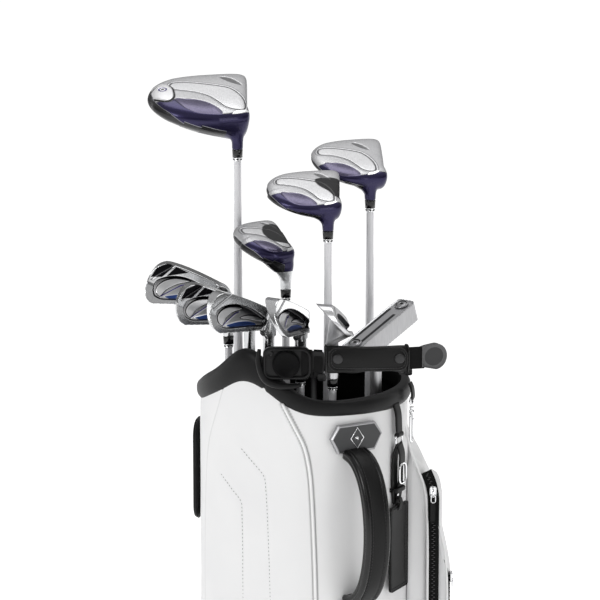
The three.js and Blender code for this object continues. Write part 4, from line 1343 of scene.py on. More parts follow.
def zip_puller():
    """Slider body with a bridge, and a ring hanging from it."""
    body = upright(plate(rounded_outline(8, 13, 3), soft_layers(3.0, 0.8), 1.5))
    bridge = sweep(smooth_line([(0, 2.6, 4.5), (0, 4.6, 2), (0, 4.6, -2), (0, 2.6, -4.5)], 0.8),
                   rounded_box_section(2.2, 1.2, 4, 12), side=(1, 0, 0))
    loop = np.array([(x, 3.6, z - 8) for x, z in rounded_outline(5, 9, 2.2)])
    ring = sweep(loop, ring_section(0.7, 8), side=(0, 1, 0), closed=True)
    return body, bridge, ring


def make_zip_slider():
    parts = together(*zip_puller())
    x, z = GUSSET_X + 4.8, 734
    points = np.column_stack([parts[0][:, 0] + x, POCKET_Y - 44.0 - parts[0][:, 1], parts[0][:, 2] + z])
    piece("main_zip_slider", points, parts[1], "chrome", "zip", "chrome", ["zip_slider"])
    outline = rounded_outline(6.5, 26, 2.6)
    flat = upright(plate(outline, soft_layers(2.4, 0.8), 1.4))
    points = np.column_stack([flat[0][:, 0] + x, POCKET_Y - 46.0 - flat[0][:, 1], flat[0][:, 2] + z - 24])
    piece("main_zip_pull", points, flat[1], "black_leather", "zip", "black_leather")


def make_shoulder_pad():
    pad = inflated("shoulder_padding", "shoulder_pad", "black_soft", "bag", 3, 3, 3.5, 0.3)
    ring = np.array([(x, 3.2, z) for x, z in rounded_outline(46, 116, 17)])
    seam = sweep(ring, ring_section(0.9, 8), side=(0, 1, 0), closed=True)
    piece("shoulder_piping", *on_wall(seam, 168, 748, 3.4), "black_edge", "bag", "black_soft")


# ---------------------------------------------------------------- the clubs

BUTT_Z = FLOOR_TOP + GAP
GRIP_LENGTH, GRIP_BUTT_R, GRIP_TIP_R = 265, 13.2, 9.6
BORE_DEPTH, FERRULE_HEIGHT = 24, 13

WOODS = {
    "driver": dict(x=-77, y=63.1, hosel=1118, tip=4.4, lift=20, turn=68,
                   toe=108, back=110, crown=42, sole=15, inset=0.25, neck=0),
    "five_wood": dict(x=76, y=22, hosel=1066, tip=4.3, lift=20, turn=66,
                      toe=92, back=78, crown=26, sole=10, inset=0.12, neck=0),
    "seven_wood": dict(x=27, y=-61, hosel=1046, tip=4.3, lift=20, turn=70,
                       toe=88, back=80, crown=26, sole=10, inset=0.18, neck=0, short=0.96),
    "hybrid": dict(x=-21, y=7.5, hosel=964, tip=4.4, lift=20, turn=50,
                   toe=82, back=56, crown=29, sole=12, inset=0.22, neck=12, short=0.93),
}
IRONS = {
    "iron_six": dict(x=-87, y=-1, hosel=911, reach=60, loft=26, lift=24, turn=0, tip=4.5),
    "iron_seven": dict(x=-62, y=-40, hosel=903, reach=56, loft=29, lift=24, turn=-18, tip=4.5),
    "iron_eight": dict(x=-40, y=-82, hosel=897, reach=64, loft=33, lift=24, turn=-32, tip=4.5),
    "iron_nine": dict(x=-4, y=-94, hosel=888, reach=72, loft=38, lift=24, turn=-56, tip=4.5),
    "wedge": dict(x=32, y=-92, hosel=882, reach=69, loft=50, lift=26, turn=-72, tip=4.5),
}
FACE_SLANT = 0.36
PUTTER = dict(x=82, y=-45, hosel=846, tip=4.5, lift=20, turn=130)


def head_frame(lift, turn):
    """The head's toe, back and sole directions as the rows of a matrix; the sole looks up."""
    l, a = math.radians(lift), math.radians(turn)
    toe = np.array([-math.cos(a) * math.cos(l), math.sin(a) * math.cos(l), math.sin(l)])
    back = np.array([-math.sin(a), -math.cos(a), 0.0])
    sole = np.cross(back, toe)
    return np.array([toe, back, sole if sole[2] > 0 else -sole])


def remeshed(obj, voxel, rounds):
    modified(obj, "REMESH", mode="VOXEL", voxel_size=voxel)
    if rounds:
        modified(obj, "SMOOTH", factor=0.5, iterations=rounds)
    return obj


def join(objects):
    """One object from several closed ones."""
    parts = []
    for obj in objects:
        faces = [tuple(p.vertices) for p in obj.data.polygons]
        parts.append((corners(obj), faces))
        bpy.data.objects.remove(obj)
    return loose("joined", *together(*parts))


def finished_head(obj, name, look, club):
    """Turns a working head in millimetres into the piece that rides on its club."""
    move_corners(obj, corners(obj) * MM)
    obj.name = name + "_head_shell"
    obj.data.shade_smooth()
    return dressed(obj, look, name, [name + "_head"])


def local_points(points, club, middle):
    """Points in the head's own frame: along the toe, to the back, and up to the sole."""
    return (points - np.array([club["x"], club["y"], middle])) @ head_frame(club["lift"], club["turn"]).T


def wood_middle(club):
    return club["hosel"] + club["crown"] * 0.62 + 12 + club["neck"]


def wood_shape(club):
    """A wood's body and neck, merged with a filleted joint."""
    face = 0.62
    rings, around = 90, 128
    polar = np.linspace(0, math.pi, rings)[:, None]
    turn = np.arange(around)[None] / around * 2 * math.pi
    # The plan is squarer towards the face than at the back.
    c, s = np.cos(turn), np.sin(turn)
    square = (np.abs(c) ** 3.6 + np.abs(s) ** 3.6) ** (-1 / 3.6)
    square = 1 + (square - 1) * np.where(s < 0, 1.0, 0.25 + 0.75 * (1 - s) ** 3)
    square = square * np.where(c > 0, club.get("short", 1.0), 1.0)
    x, y, z = np.sin(polar) * c * square, np.sin(polar) * s * square, np.cos(polar) + 0 * turn
    q = np.where(y < 0, -face * (1 - (1 - np.minimum(1, -y)) ** 2.0), y)
    thin = 1 - 0.80 * np.clip((q + face) / (1 + face), 0, 1) ** 0.85
    deep = 1 - (1 - np.minimum(1, np.abs(z))) ** 1.7
    rise = np.where(z > 0, club["sole"] * deep, -club["crown"] * deep * thin)
    narrow = 1 - 0.12 * np.maximum(0, q)
    p = np.stack([x * narrow * club["toe"] / 2, q * club["back"] / (1 + face), rise], -1).reshape(-1, 3)
    p += np.array([0.36 * club["toe"], club["inset"] * club["back"], 0])
    # The face slants forward towards the toe.
    fronted = np.clip((0.35 - q.reshape(-1)) / (0.35 + face), 0, 1)
    p[:, 1] -= FACE_SLANT * np.maximum(0, p[:, 0] - 8) * fronted
    place = np.array([club["x"], club["y"], 0])
    middle = wood_middle(club)
    world = p @ head_frame(club["lift"], club["turn"]) + place + np.array([0, 0, middle])
    body = loose("body", world, grid_faces(rings, around))
    root = club["hosel"]
    rise = middle - root
    profile = [(0, root), (6.3, root), (6.7, root + 0.24 * rise), (8.2, root + 0.42 * rise),
               (11.5, root + 0.62 * rise), (13.5, middle - 8), (0, middle - 5)]
    # The neck flares into the crown, and more to the back than towards the face.
    points, faces = lathe(profile, 64)
    high = smoothstep(points[:, 2], root + 0.2 * rise, middle)
    back, toe = head_frame(0, club["turn"])[[1, 0]]
    towards = points @ back
    points += (np.outer(np.maximum(0, towards) * 1.5 * high, back)
               - np.outer(np.minimum(0, towards) * 0.3 * high, back))
    along = points @ toe
    points += np.outer((np.maximum(0, along) * 0.6 - np.minimum(0, along) * 0.4) * high, toe)
    neck = loose("neck", points + place, faces)
    head = remeshed(join([body, neck]), 0.85, 0)
    # Round the crease where the neck meets the body, and nothing else.
    points = corners(head)
    away = np.hypot(points[:, 0] - club["x"], points[:, 1] - club["y"])
    crease = smoothstep(away, 30, 14) * smoothstep(points[:, 2], root + 4, root + 13)
    crease *= smoothstep(points[:, 2], middle + 6, middle - 4)
    group = head.vertex_groups.new(name="crease")
    for level in range(1, 11):
        chosen = np.nonzero((crease > (level - 1) / 10) & (crease <= level / 10))[0]
        group.add(chosen.tolist(), level / 10, "REPLACE")
    modified(head, "SMOOTH", factor=0.5, iterations=60, vertex_group="crease")
    modified(head, "SMOOTH", factor=0.5, iterations=3)
    return head


# A wood's sole, as shares of its toe length and its depth, from the shaft's axis.
WINDOW = [(0.60, 0.54), (0.45, 0.04), (0.38, -0.05), (0.15, -0.11), (-0.02, -0.06), (-0.03, 0.02),
          (0.02, 0.13), (0.14, 0.19), (0.26, 0.25), (0.36, 0.37), (0.43, 0.52), (0.48, 0.60)]
BAND = [(0.26, 0.62), (0.22, 0.50), (0.18, 0.38), (0.08, 0.27), (-0.07, 0.20), (-0.065, 0.34), (-0.02, 0.48),
        (0.08, 0.58)]
SILVER = [(0.30, 0.84), (0.25, 0.66), (0.20, 0.44), (0.08, 0.29), (-0.07, 0.22), (-0.075, 0.10),
          (-0.045, -0.03), (-0.04, -0.30), (0.30, -0.60), (0.95, -0.40), (1.00, 0.40), (0.70, 1.05)]
# A small bright patch at the heel: a painted highlight.
HEEL_GLINT = [(-0.085, 0.10), (-0.035, 0.0), (-0.035, -0.12), (-0.075, -0.03)]
SLOT = [(0.46, -0.20), (0.62, -0.14), (0.68, -0.06), (0.66, -0.02), (0.52, -0.10)]
POD = [(0.24, 0.70), (0.28, 0.64), (0.40, 0.60), (0.52, 0.59), (0.60, 0.66), (0.52, 0.78), (0.42, 0.84),
       (0.32, 0.80)]
# Outlines of black painted shadow across the soles: the first for the seven wood, the second for the hybrid.
SHADE = [(0.50, 0.02), (0.36, 0.03), (0.20, -0.06), (0.06, -0.12), (0.0, -0.22), (0.05, -0.40), (0.35, -0.50),
         (0.52, -0.25)]
HYBRID_SHADE = [(0.56, 0.02), (0.36, 0.24), (0.16, 0.20), (0.06, -0.02), (0.02, -0.14), (0.05, -0.40),
               (0.35, -0.50), (0.58, -0.25)]
POD_SCREW = (0.475, 0.69)


def smooth_loop(points, step=1.0):
    """A closed smooth outline through the points."""
    p = list(points)
    loop = smooth_line([p[-1], *p, p[0], p[1]], step)
    half = len(loop) // 2
    start = np.linalg.norm(loop - np.array(p[0]), axis=1)[:half].argmin()
    end = half + np.linalg.norm(loop[half:] - np.array(p[0]), axis=1).argmin()
    return loop[start:end]


def rounded(outline, club):
    """A closed smooth outline through points given as shares of the head."""
    return smooth_loop([(u * club["toe"], v * club["back"]) for u, v in outline], 1.5)


def trim_level(v):
    """Height of the upper edge of the dark stepped trim round a wood's back, by share of its depth."""
    level = np.interp(v, [-0.3, 0.05, 0.43], [-26, -14, -2])
    level = np.where(v > 0.43, np.interp(v, [0.43, 0.61], [-5, 0.5]), level)
    return np.where(v > 0.61, np.interp(v, [0.61, 0.74, 1.0], [-2.5, 6.0, 11.0]), level)


def make_wood_head(name, club):
    head = wood_shape(club)
    points = corners(head)
    local = local_points(points, club, wood_middle(club))
    u, v, w = local[:, 0] / club["toe"], local[:, 1] / club["back"], local[:, 2]
    flat = local[:, :2]
    zones = {zone: signed_distance(flat, rounded(outline, club))
             for zone, outline in [("window", WINDOW), ("lens", BAND), ("silver", SILVER), ("heel_glint", HEEL_GLINT),
                                   ("slot", SLOT), ("pod", POD),
                                   ("shade", HYBRID_SHADE if name == "hybrid" else SHADE)]}
    above = smoothstep(w, -2, 3)
    depth = 0.8 * np.exp(-((zones["window"] / 0.9) ** 2)) + 0.35 * smoothstep(-zones["window"], 0, 2)
    depth += 0.5 * smoothstep(-zones["lens"], -0.6, 0.8) + 0.8 * smoothstep(-zones["slot"], -0.5, 0.5)
    screw = np.hypot(flat[:, 0] - POD_SCREW[0] * club["toe"], flat[:, 1] - POD_SCREW[1] * club["back"])
    if name == "driver":
        depth += (-1.0 * smoothstep(-zones["pod"], -0.8, 1.2)
                  + 0.9 * np.exp(-((zones["pod"] - 1.2) / 0.9) ** 2))
        depth += 0.8 * np.exp(-((screw - 4.3) / 0.7) ** 2) + 1.2 * (1 - smoothstep(screw, 1.2, 2.2))
    trim = w - trim_level(v) * club["crown"] / 42
    depth_side = (0.7 * (1 - smoothstep(trim, -0.5, 0.5)) * smoothstep(trim, -13, -10)
                  * smoothstep(v, 0.15, 0.3))
    axes = head_frame(club["lift"], club["turn"])
    outward = np.array([u - 0.36, v - 0.1, 0 * u]).T
    outward /= np.maximum(1e-6, np.linalg.norm(outward, axis=1))[:, None]
    moved = local - np.column_stack([0 * u, 0 * u, depth * above]) - outward * depth_side[:, None]
    neck = np.hypot(points[:, 0] - club["x"], points[:, 1] - club["y"]) < 12
    moved[neck & (w < 4)] = local[neck & (w < 4)]
    move_corners(head, moved @ axes + np.array([club["x"], club["y"], wood_middle(club)]))
    for zone, values in zones.items():
        store(head, zone, values)
    store(head, "trim", np.where(v > 0.15, trim, 9))
    store(head, "w", w)
    store(head, "screw", screw)
    store(head, "rise", points[:, 2] - club["hosel"])
    finished_head(head, name, wood_paint(name, club), club)


def wood_paint(name, club):
    """Silver sole with a grooved window and a purple lens, over indigo paint that runs down the neck."""
    s = Shader(name + "_paint", (0.6, 0.6, 0.61), 0.3, 0.8, Coat_Weight=0.25, Coat_Roughness=0.12)
    flakes = s.cells(4200)
    brushed = s.noise(700, 3, (1, 0.05, 1))

    def within(zone, soft=0.25):
        return s.span(s.attribute(zone), -soft, soft, 1.0, 0.0)

    def line(zone, width, at=0.0):
        away = s.math("ABSOLUTE", s.math("SUBTRACT", s.attribute(zone), at))
        return s.span(away, width, width + 0.35, 1.0, 0.0)

    indigo = s.mix(s.span(flakes, 0.1, 0.5), (0.034, 0.026, 0.085), (0.016, 0.013, 0.050))
    lens = s.mix(s.span(brushed, 0.3, 0.7), (0.085, 0.075, 0.125), (0.060, 0.053, 0.095))
    silver = s.mix(s.span(brushed, 0.3, 0.7), (0.53, 0.53, 0.54), (0.46, 0.46, 0.47))
    bright = (0.68, 0.68, 0.69)
    dark = (0.022, 0.022, 0.024)
    on_top = s.math("MULTIPLY", within("silver"), s.span(s.attribute("w"), -1.5, -1.0))
    colour = s.mix(on_top, indigo, silver)
    edge = s.math("MULTIPLY", line("silver", 0.25), s.span(s.attribute("w"), -1.5, -1.0))
    colour = s.mix(edge, colour, (0.10, 0.10, 0.11))
    colour = s.mix(within("window"), colour, s.mix(s.span(brushed, 0.3, 0.7), bright, (0.6, 0.6, 0.61)))
    colour = s.mix(line("window", 0.8), colour, (0.10, 0.10, 0.105))
    colour = s.mix(line("window", 0.35, 3.0), colour, (0.24, 0.24, 0.25))
    top_side = s.span(s.attribute("w"), 0.0, 1.0)
    colour = s.mix(s.math("MULTIPLY", within("lens"), top_side), colour, lens)
    colour = s.mix(within("slot"), colour, (0.16, 0.16, 0.165))
    if name == "driver":
        colour = s.mix(within("pod"), colour, bright)
        colour = s.mix(line("pod", 0.9, 1.0), colour, dark)
        colour = s.mix(line("screw", 0.7, 4.3), colour, (0.10, 0.09, 0.20))
        colour = s.mix(s.span(s.attribute("screw"), 1.6, 2.0, 1.0, 0.0), colour, dark)
    # A black patch of painted shadow on the seven wood's and the hybrid's soles.
    if name in ("seven_wood", "hybrid"):
        colour = s.mix(s.math("MULTIPLY", within("shade", 0.8), on_top), colour, (0.008, 0.008, 0.009))
    # Painted highlight: a near-white patch at the heel's side.
    colour = s.mix(s.math("MULTIPLY", within("heel_glint"), s.span(s.attribute("w"), -3, -2)), colour,
                   (0.9, 0.9, 0.9))
    trim_band = s.math("MULTIPLY", s.span(s.attribute("trim"), -0.2, 0.2, 1.0, 0.0),
                       s.span(s.attribute("trim"), -13.0, -12.4))
    colour = s.mix(trim_band, colour, (0.03, 0.03, 0.032))
    colour = s.mix(line("trim", 0.25), colour, (0.25, 0.25, 0.27))
    if name == "hybrid":
        colour = s.mix(s.span(s.attribute("rise"), 22.0, 22.6, 1.0, 0.0), colour, (0.68, 0.69, 0.70))
    s.set("Base Color", colour)
    s.set("Roughness", s.blend(on_top, 0.3, 0.48))
    s.bump(brushed, 0.00001)
    return s.done()


# ---------------------------------------------------------------- irons and putter

BLADE_LENGTH, TOE_HEIGHT, HEEL_HEIGHT = 90, 55, 31
SOLE_WIDTH, TOPLINE_WIDTH = 20, 7


def bezier(points, steps):
    """A quadratic or cubic curve's points, without its first."""
    p = [np.array(q, float) for q in points]
    out = []
    for k in range(1, steps + 1):
        t, level = k / steps, list(p)
        while len(level) > 1:
            level = [(1 - t) * a + t * b for a, b in zip(level, level[1:])]
        out.append(level[0])
    return out


def traced(start, *legs):
    """A closed outline: each leg is a line's end or a curve's control points and end."""
    out = [np.array(start, float)]
    for leg in legs:
        if len(leg) == 1:
            count = max(1, int(np.linalg.norm(np.array(leg[0]) - out[-1]) / 3))
            out += bezier([out[-1], leg[0]], count)
        else:
            out += bezier([out[-1], *leg], 14)
    if np.linalg.norm(out[-1] - out[0]) < 1e-6:
        out.pop()
    return [tuple(p) for p in out]


def blade_outline():
    length, height, heel = BLADE_LENGTH, TOE_HEIGHT, HEEL_HEIGHT
    return traced(
        (4, -1), [(length * 0.5, 3), (length - 20, -1)],
        [(length - 5, -3), (length + 1, -height * 0.4), (length - 3, -height * 0.72)],
        [(length - 6, -height), (length - 17, -height)],
        [(12, -heel)],
        [(2, -heel + 4), (-8, -heel - 1)],
        [(-19, -heel + 5)],
        [(-11, -6), (4, -1)],
    )


def cavity_outline():
    return traced(
        (8, -17), [(28, -7), (48, -9)],
        [(68, -12), (78, -27)],
        [(81, -38), (74, -45)],
        [(68, -47.5), (60, -44)],
        [(14, -25)],
        [(8, -22), (8, -17)],
    )


def lofted(points, loft):
    """Carries blade points, drawn as [toe, sole side, layer], to their leaning place: toe, back, sole."""
    x, y, layer = points.T
    lean, rise = math.sin(math.radians(loft)), math.cos(math.radians(loft))
    down = np.maximum(0, -y)
    thinning = np.minimum(1, down * 1.6 / TOE_HEIGHT)
    width = SOLE_WIDTH + (TOPLINE_WIDTH - SOLE_WIDTH) * thinning
    hosel = smoothstep(-x, -14, 6)
    leaning = down * lean * (1 - hosel) - 5.5 * hosel
    return np.column_stack([
        x,
        leaning + layer * (width + (11 - width) * hosel),
        y * (rise + (1 - rise) * hosel),
    ])


def blade_solid(outline, low, high, club):
    flat, triangles = filled(outline, 3.0)
    n = len(flat)
    edges = {(a, b) for f in triangles for a, b in zip(f, f[1:] + f[:1])}
    rim = [(a, b) for a, b in edges if (b, a) not in edges]
    levels = np.linspace(low, high, 7)
    points = np.concatenate([lofted(np.column_stack([flat, np.full(n, k)]), club["loft"]) for k in levels])
    top = n * (len(levels) - 1)
    faces = [tuple(reversed(f)) for f in triangles] + [tuple(i + top for i in f) for f in triangles]
    for k in range(len(levels) - 1):
        faces += [(a + n * k, b + n * k, b + n * (k + 1), a + n * (k + 1)) for a, b in rim]
    used = sorted({i for f in faces for i in f})
    number = {old: new for new, old in enumerate(used)}
    points, faces = points[used], [tuple(number[i] for i in f) for f in faces]
    top_z = club["hosel"] + club["reach"]
    world = points @ head_frame(club["lift"], club["turn"]) + np.array([club["x"], club["y"], top_z])
    return loose("blade", world, faces)


def make_iron_head(name, club):
    blade = blade_solid(blade_outline(), 0, 1, club)
    cut(blade, blade_solid(cavity_outline(), 0.42, 1.6, club))
    root, top = club["hosel"], club["hosel"] + club["reach"]
    profile = [(0, root), (6.4, root), (6.5, root + 6), (6.8, top - 30), (6.4, top - 16), (3, top - 10),
               (0, top - 10)]
    hosel = loose("hosel", *shift(lathe(profile, 64), (club["x"], club["y"], 0)))
    head = remeshed(join([blade, hosel]), 0.62, 3)
    points = corners(head)
    local = local_points(points, club, top)
    rise = math.cos(math.radians(club["loft"]))
    flat = np.column_stack([local[:, 0], local[:, 2] / rise])
    down = np.maximum(0, -flat[:, 1])
    lean = down * math.sin(math.radians(club["loft"]))
    width = SOLE_WIDTH + (TOPLINE_WIDTH - SOLE_WIDTH) * np.minimum(1, down * 1.6 / TOE_HEIGHT)
    layer = (local[:, 1] - lean) / width
    zones = {zone: signed_distance(flat, smooth_loop(outline))
             for zone, outline in [("badge", BADGE), ("slash", SLASH), ("undercut_shadow", UNDERCUT_SHADOW), ("sweep", SWEEP)]}
    zones["cavity"] = signed_distance(flat, cavity_outline())
    zones["dark_reflection"] = np.minimum(signed_distance(flat, DARK_REFLECTION_TOE), signed_distance(flat, DARK_REFLECTION_MIDDLE))
    zones["facet"] = line_distance(flat, np.array([(84, -27), (66, 0)], float))
    zones["stroke"] = line_distance(flat, np.array([(67, -44), (50, -22), (46, -19)], float))
    raised = 1.3 * smoothstep(-zones["slash"], -0.6, 0.8) + 0.6 * smoothstep(-zones["badge"], -0.5, 0.6)
    raised += 0.9 * smoothstep(-zones["sweep"], -0.6, 1.2) - 0.6 * np.exp(-((zones["stroke"] / 0.8) ** 2))
    inside = smoothstep(layer, 0.25, 0.34) * smoothstep(-zones["cavity"], 0.6, 1.4)
    outside = smoothstep(layer, 0.75, 0.9) * smoothstep(zones["cavity"], 0.3, 1.0)
    facet = 0.9 * np.exp(-((zones["facet"] / 0.9) ** 2))
    moved = local + np.column_stack([0 * lean, raised * inside - facet * outside, 0 * lean])
    axes = head_frame(club["lift"], club["turn"])
    move_corners(head, moved @ axes + np.array([club["x"], club["y"], top]))
    for zone, values in zones.items():
        store(head, zone, values)
    store(head, "toe", local[:, 0])
    store(head, "tall", flat[:, 1])
    store(head, "layer", layer)
    store(head, "rise", points[:, 2] - club["hosel"])
    finished_head(head, name, iron_finish(name), club)


# The back of an iron, in millimetres from the shaft's axis to the toe and from the sole downwards.
BADGE = [(63, -42.5), (54, -36), (44, -30.5), (32, -26), (22, -25.5), (20, -27.5), (30, -32), (42, -37.5),
         (54, -42)]
SLASH = [(68, -44), (63, -33), (54, -22), (42, -12.5), (58, -16), (70, -25), (75, -36), (73, -42)]
# A black band of painted shadow under the cavity's upper edge.
UNDERCUT_SHADOW = [(84, -28), (72, -17), (58, -11.5), (44, -10), (50, -14.5), (64, -19), (74, -25), (83, -34)]
SWEEP = [(44, -26), (34, -19), (20, -16), (10, -17), (16, -21), (30, -23.5)]
# Black patches on the polished back of the six and seven: painted reflections of dark surroundings.
DARK_REFLECTION_TOE = [(86, -26), (84, -12), (74, -1), (66, -1), (74, -20)]
DARK_REFLECTION_MIDDLE = [(64, -1), (48, -1.5), (70, -17)]


def iron_finish(name):
    """Polished rims and sole, a satin cavity with bright sweeps and a black band of painted shadow under
    its upper edge, and a blue lens badge.
    """
    s = Shader(name + "_finish", (0.74, 0.745, 0.75), 0.14, 1.0)
    brushed = s.noise(900, 3, (1, 1, 0.08))

    def within(zone, soft=0.2):
        return s.span(s.attribute(zone), -soft, soft, 1.0, 0.0)

    def line(zone, width):
        return s.span(s.math("ABSOLUTE", s.attribute(zone)), width, width + 0.3, 1.0, 0.0)

    chrome = s.mix(s.span(brushed, 0.3, 0.7), (0.64, 0.645, 0.65), (0.54, 0.545, 0.555))
    back_side = s.span(s.attribute("layer"), 0.30, 0.34)
    in_cavity = s.math("MULTIPLY", within("cavity"), back_side)
    # The cavity floor darkens towards its upper edge: painted shade under the overhang.
    floor = s.mix(s.span(s.attribute("tall"), -40, -12), (0.62, 0.62, 0.63), (0.16, 0.16, 0.165))
    # Painted shadow: a black band under the cavity's upper edge.
    floor = s.mix(within("undercut_shadow", 0.4), floor, (0.004, 0.004, 0.005))
    floor = s.mix(within("sweep", 0.4), floor, (0.55, 0.55, 0.56))
    floor = s.mix(line("sweep", 0.3), floor, (0.01, 0.01, 0.012))
    floor = s.mix(within("slash"), floor, (0.88, 0.88, 0.89))
    floor = s.mix(line("slash", 0.35), floor, (0.015, 0.015, 0.017))
    floor = s.mix(line("stroke", 0.4), floor, (0.05, 0.035, 0.20))
    floor = s.mix(within("badge"), floor, (0.045, 0.085, 0.27))
    floor = s.mix(line("badge", 0.25), floor, (0.75, 0.76, 0.78))
    colour = s.mix(in_cavity, chrome, floor)
    # A dark line round the cavity's edge: painted shade where its wall drops to the floor.
    colour = s.mix(s.math("MULTIPLY", line("cavity", 0.5), back_side), colour, (0.05, 0.05, 0.055))
    back = s.span(s.attribute("layer"), 0.80, 0.86)
    # Painted reflections: black patches on the polished back of the six and seven.
    if name in ("iron_six", "iron_seven"):
        colour = s.mix(s.math("MULTIPLY", within("dark_reflection"), back), colour, (0.006, 0.006, 0.007))
    colour = s.mix(s.math("MULTIPLY", line("facet", 0.25), back), colour, (0.12, 0.12, 0.125))
    # Score lines across the face.
    score = s.math("ABSOLUTE", s.math("SUBTRACT",
                                      s.math("FRACT", s.math("DIVIDE", s.attribute("tall"), 3.4)), 0.5))
    face = s.math("MULTIPLY", s.span(s.attribute("layer"), 0.03, 0.06, 1.0, 0.0),
                  s.math("MULTIPLY", s.span(s.attribute("toe"), 14, 14.4),
                         s.span(s.attribute("toe"), 66, 66.4, 1.0, 0.0)))
    scored = s.math("MULTIPLY", face, s.span(score, 0.10, 0.14, 1.0, 0.0))
    colour = s.mix(face, colour, (0.42, 0.425, 0.43))
    colour = s.mix(scored, colour, (0.05, 0.05, 0.055))
    if name == "wedge":
        # The wedge is plain satin steel, with a dark line of painted shade round its shallow cavity.
        satin = s.mix(s.span(brushed, 0.3, 0.7), (0.60, 0.60, 0.61), (0.50, 0.50, 0.51))
        colour = s.mix(s.math("MULTIPLY", line("cavity", 0.3), back_side), satin, (0.10, 0.10, 0.105))
        colour = s.mix(scored, colour, (0.05, 0.05, 0.055))
    s.set("Base Color", colour)
    s.set("Roughness", 0.32 if name == "wedge" else s.blend(in_cavity, 0.19, 0.3))
    s.bump(brushed, 0.000006)
    return s.done()


# Steps of each weight screw's profile given black: painted shade in its ring groove and central socket.
PUTTER_SHADED_STEPS = (4, 5, 8, 9)
# The putter's grooves: where each lies across the sole and how long it is, from the same end.
PUTTER_GROOVES = ((5.0, 76), (-8.5, 66))
PUTTER_HEEL = -38


def putter_finish():
    """Satin steel with two dark painted grooves."""
    s = Shader("putter_finish", (0.5, 0.5, 0.51), 0.36, 1.0)
    brushed = s.noise(900, 3, (1, 1, 0.08))
    steel = s.mix(s.span(brushed, 0.3, 0.7), (0.50, 0.50, 0.51), (0.42, 0.42, 0.43))
    s.set("Base Color", s.mix(s.span(s.attribute("grooves"), 0.3, 0.6), steel, (0.03, 0.03, 0.032)))
    s.bump(brushed, 0.000006)
    return s.done()


def make_putter_head():
    club = PUTTER
    length, height, depth = 112, 24, 26
    axes = head_frame(club["lift"], club["turn"])
    middle = club["hosel"] + 78
    place = np.array([club["x"], club["y"], middle])
    outline = rounded_outline(length, depth, 6)

    def world(mesh_data, x, y, z):
        points, faces = shift(mesh_data, (x, y, z))
        return points @ axes + place, faces

    block = loose("block", *world(plate(outline, soft_layers(height, 1.6), 4), 3, -4, -height / 2))
    # Two grooves run along the sole, and stop short of the weight at the toe.
    for y, run in PUTTER_GROOVES:
        groove = plate(rounded_outline(run, 3.2, 1.2), [[0, 0], [5, 0]], 1.0)
        cut(block, loose("groove", *world(groove, PUTTER_HEEL + run / 2, y, height / 2 - 1.5)))
    root = club["hosel"]
    profile = [(0, root), (6.2, root), (6.6, root + 1.5), (6.6, middle - 6), (0, middle - 4)]
    hosel = loose("hosel", *shift(lathe(profile, 64), (club["x"], club["y"], 0)))
    head = remeshed(join([block, hosel]), 0.6, 7)
    local = local_points(corners(head), club, middle)
    bands = 0
    for y, run in PUTTER_GROOVES:
        along = np.abs(local[:, 0] - PUTTER_HEEL - run / 2)
        bands = bands + (np.exp(-(((local[:, 1] - y) / 2.2) ** 4))
                         * smoothstep(along, run / 2 + 0.6, run / 2 - 0.4))
    store(head, "grooves", bands * smoothstep(local[:, 2], height / 2 - 4, height / 2 - 3))
    finished_head(head, "putter", putter_finish(), club)
    screw = [(0, 0), (8.2, 0), (8.2, 1.0), (7.6, 1.7), (6.8, 1.8), (6.2, 1.1), (5.4, 1.0), (4.6, 1.5),
             (2.4, 1.6), (1.8, 0.4), (0, 0.2)]
    parts = []
    for x in (48, -42):
        points, faces = lathe(screw, 48)
        points = (points + np.array([x, -4, height / 2 - 0.9])) @ axes + place
        parts.append((points, faces))
    weights = piece("putter_weights", *together(*parts), "plate_silver", "putter", "chrome")
    step = np.repeat(np.arange(len(screw) - 1), 48)
    second_look(weights, "black_gloss", np.tile(np.isin(step, PUTTER_SHADED_STEPS), 2))


def make_shaft(name, club, look, slot):
    end, grip_end = club["hosel"] + BORE_DEPTH - 1, BUTT_Z + GRIP_LENGTH
    butt = BUTT_Z + 4 + GAP
    profile = [(0, butt), (7.4, butt), (7.2, grip_end), (6.4, club["hosel"] - 420),
               (club["tip"] + 0.25, club["hosel"] - 70),
               (club["tip"], club["hosel"] - 60), (club["tip"], end), (0, end)]
    fine = [profile[0]]
    for (r0, z0), (r1, z1) in zip(profile, profile[1:]):
        count = max(1, int(abs(z1 - z0) / 40))
        fine += [(r0 + (r1 - r0) * k / count, z0 + (z1 - z0) * k / count) for k in range(1, count + 1)]
    data = shift(lathe(fine, 40), (club["x"], club["y"], 0))
    piece(name + "_shaft_tube", *data, look, name, slot, [name + "_shaft"])


def make_grip(name, club):
    """A tapered rubber grip: flat cap with a raised ring, and shallow wrap grooves down its length."""
    end = BUTT_Z + GRIP_LENGTH
    profile = [(0, BUTT_Z), (3.0, BUTT_Z), (3.6, BUTT_Z + 0.8), (4.4, BUTT_Z + 0.8), (5.0, BUTT_Z),
               (11.2, BUTT_Z), (12.6, BUTT_Z + 0.7), (13.2, BUTT_Z + 2.2), (13.2, BUTT_Z + 5)]
    for z in np.arange(8, GRIP_LENGTH - 4, 3.0):
        r = GRIP_BUTT_R + (GRIP_TIP_R - GRIP_BUTT_R) * z / GRIP_LENGTH
        profile.append((r - (0.35 if int(z / 3) % 4 == 0 else 0), BUTT_Z + z))
    profile += [(GRIP_TIP_R, end - 2.5), (GRIP_TIP_R - 0.4, end - 0.6), (GRIP_TIP_R - 1.6, end), (7.5, end),
                (7.5, end - 30), (0, end - 30)]
    data = shift(lathe(profile, 40), (club["x"], club["y"], 0))
    piece(name + "_grip_rubber", *data, "grip_rubber", name, "grip_rubber", [name + "_grip"])


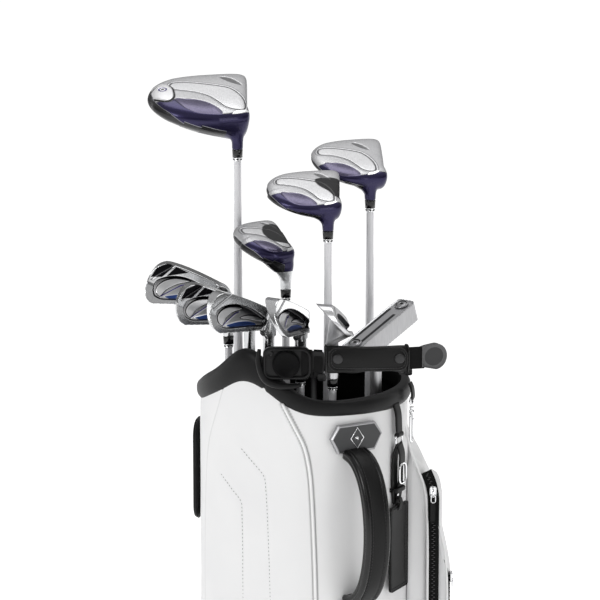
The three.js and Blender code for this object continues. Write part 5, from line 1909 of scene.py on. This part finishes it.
def make_ferrule(name, club):
    """Gloss black collar, a bright ring, and a ring of small dark studs below it."""
    top, bore = club["hosel"] - GAP, club["tip"] + 0.1
    place = (club["x"], club["y"], 0)
    collar = [(bore, top - 8.6), (5.9, top - 8.6), (6.0, top - 4), (6.25, top - 0.6), (6.1, top), (bore, top),
              (bore, top - 8.6)]
    piece(name + "_ferrule_collar", *shift(lathe(collar, 48), place), "black_gloss", name, "black_plastic",
          [name + "_ferrule"])
    low = top - FERRULE_HEIGHT
    bright = [(bore, low), (5.2, low), (5.4, low + 0.4), (5.4, low + 1.0), (5.1, low + 1.3), (5.1, low + 2.7),
              (5.5, low + 3.0), (5.8, low + 3.4), (5.8, low + 4.2), (bore, low + 4.2), (bore, low)]
    piece(name + "_ferrule_rings", *shift(lathe(bright, 48), place), "chrome", name, "chrome")
    studs = []
    for k in range(6):
        a = math.radians(60 * k + 30)
        stud = lathe([(0, 0), (0.95, 0), (0.8, 0.5), (0, 0.6)], 12)
        points = np.column_stack([stud[0][:, 2] + 4.95, stud[0][:, 0] * 1.8, stud[0][:, 1] + low + 2.0])
        c, s = math.cos(a), math.sin(a)
        points = np.column_stack([points[:, 0] * c - points[:, 1] * s, points[:, 0] * s + points[:, 1] * c,
                                  points[:, 2]])
        studs.append(shift((points, stud[1]), place))
    piece(name + "_ferrule_studs", *together(*studs), "black_gloss", name, "black_plastic")


# ---------------------------------------------------------------- build

make_camera()
make_studio()
make_materials()

make_bag_body()
make_wall_seams()
make_cuff()
make_divider()
make_base()
make_handle()
make_handle_plate()

make_anchor()
make_webbing()
make_sleeve()
make_flap()
make_tab()
make_tag()
make_hook()

make_pockets()
make_zip_slider()
make_shoulder_pad()

for name, club in WOODS.items():
    make_wood_head(name, club)
for name, club in IRONS.items():
    make_iron_head(name, club)
make_putter_head()
for name, club in {**WOODS, **IRONS}.items():
    make_shaft(name, club, "shaft_silver", "shaft_silver")
    make_grip(name, club)
    make_ferrule(name, club)
make_shaft("putter", PUTTER, "shaft_chrome", "chrome")
make_grip("putter", PUTTER)
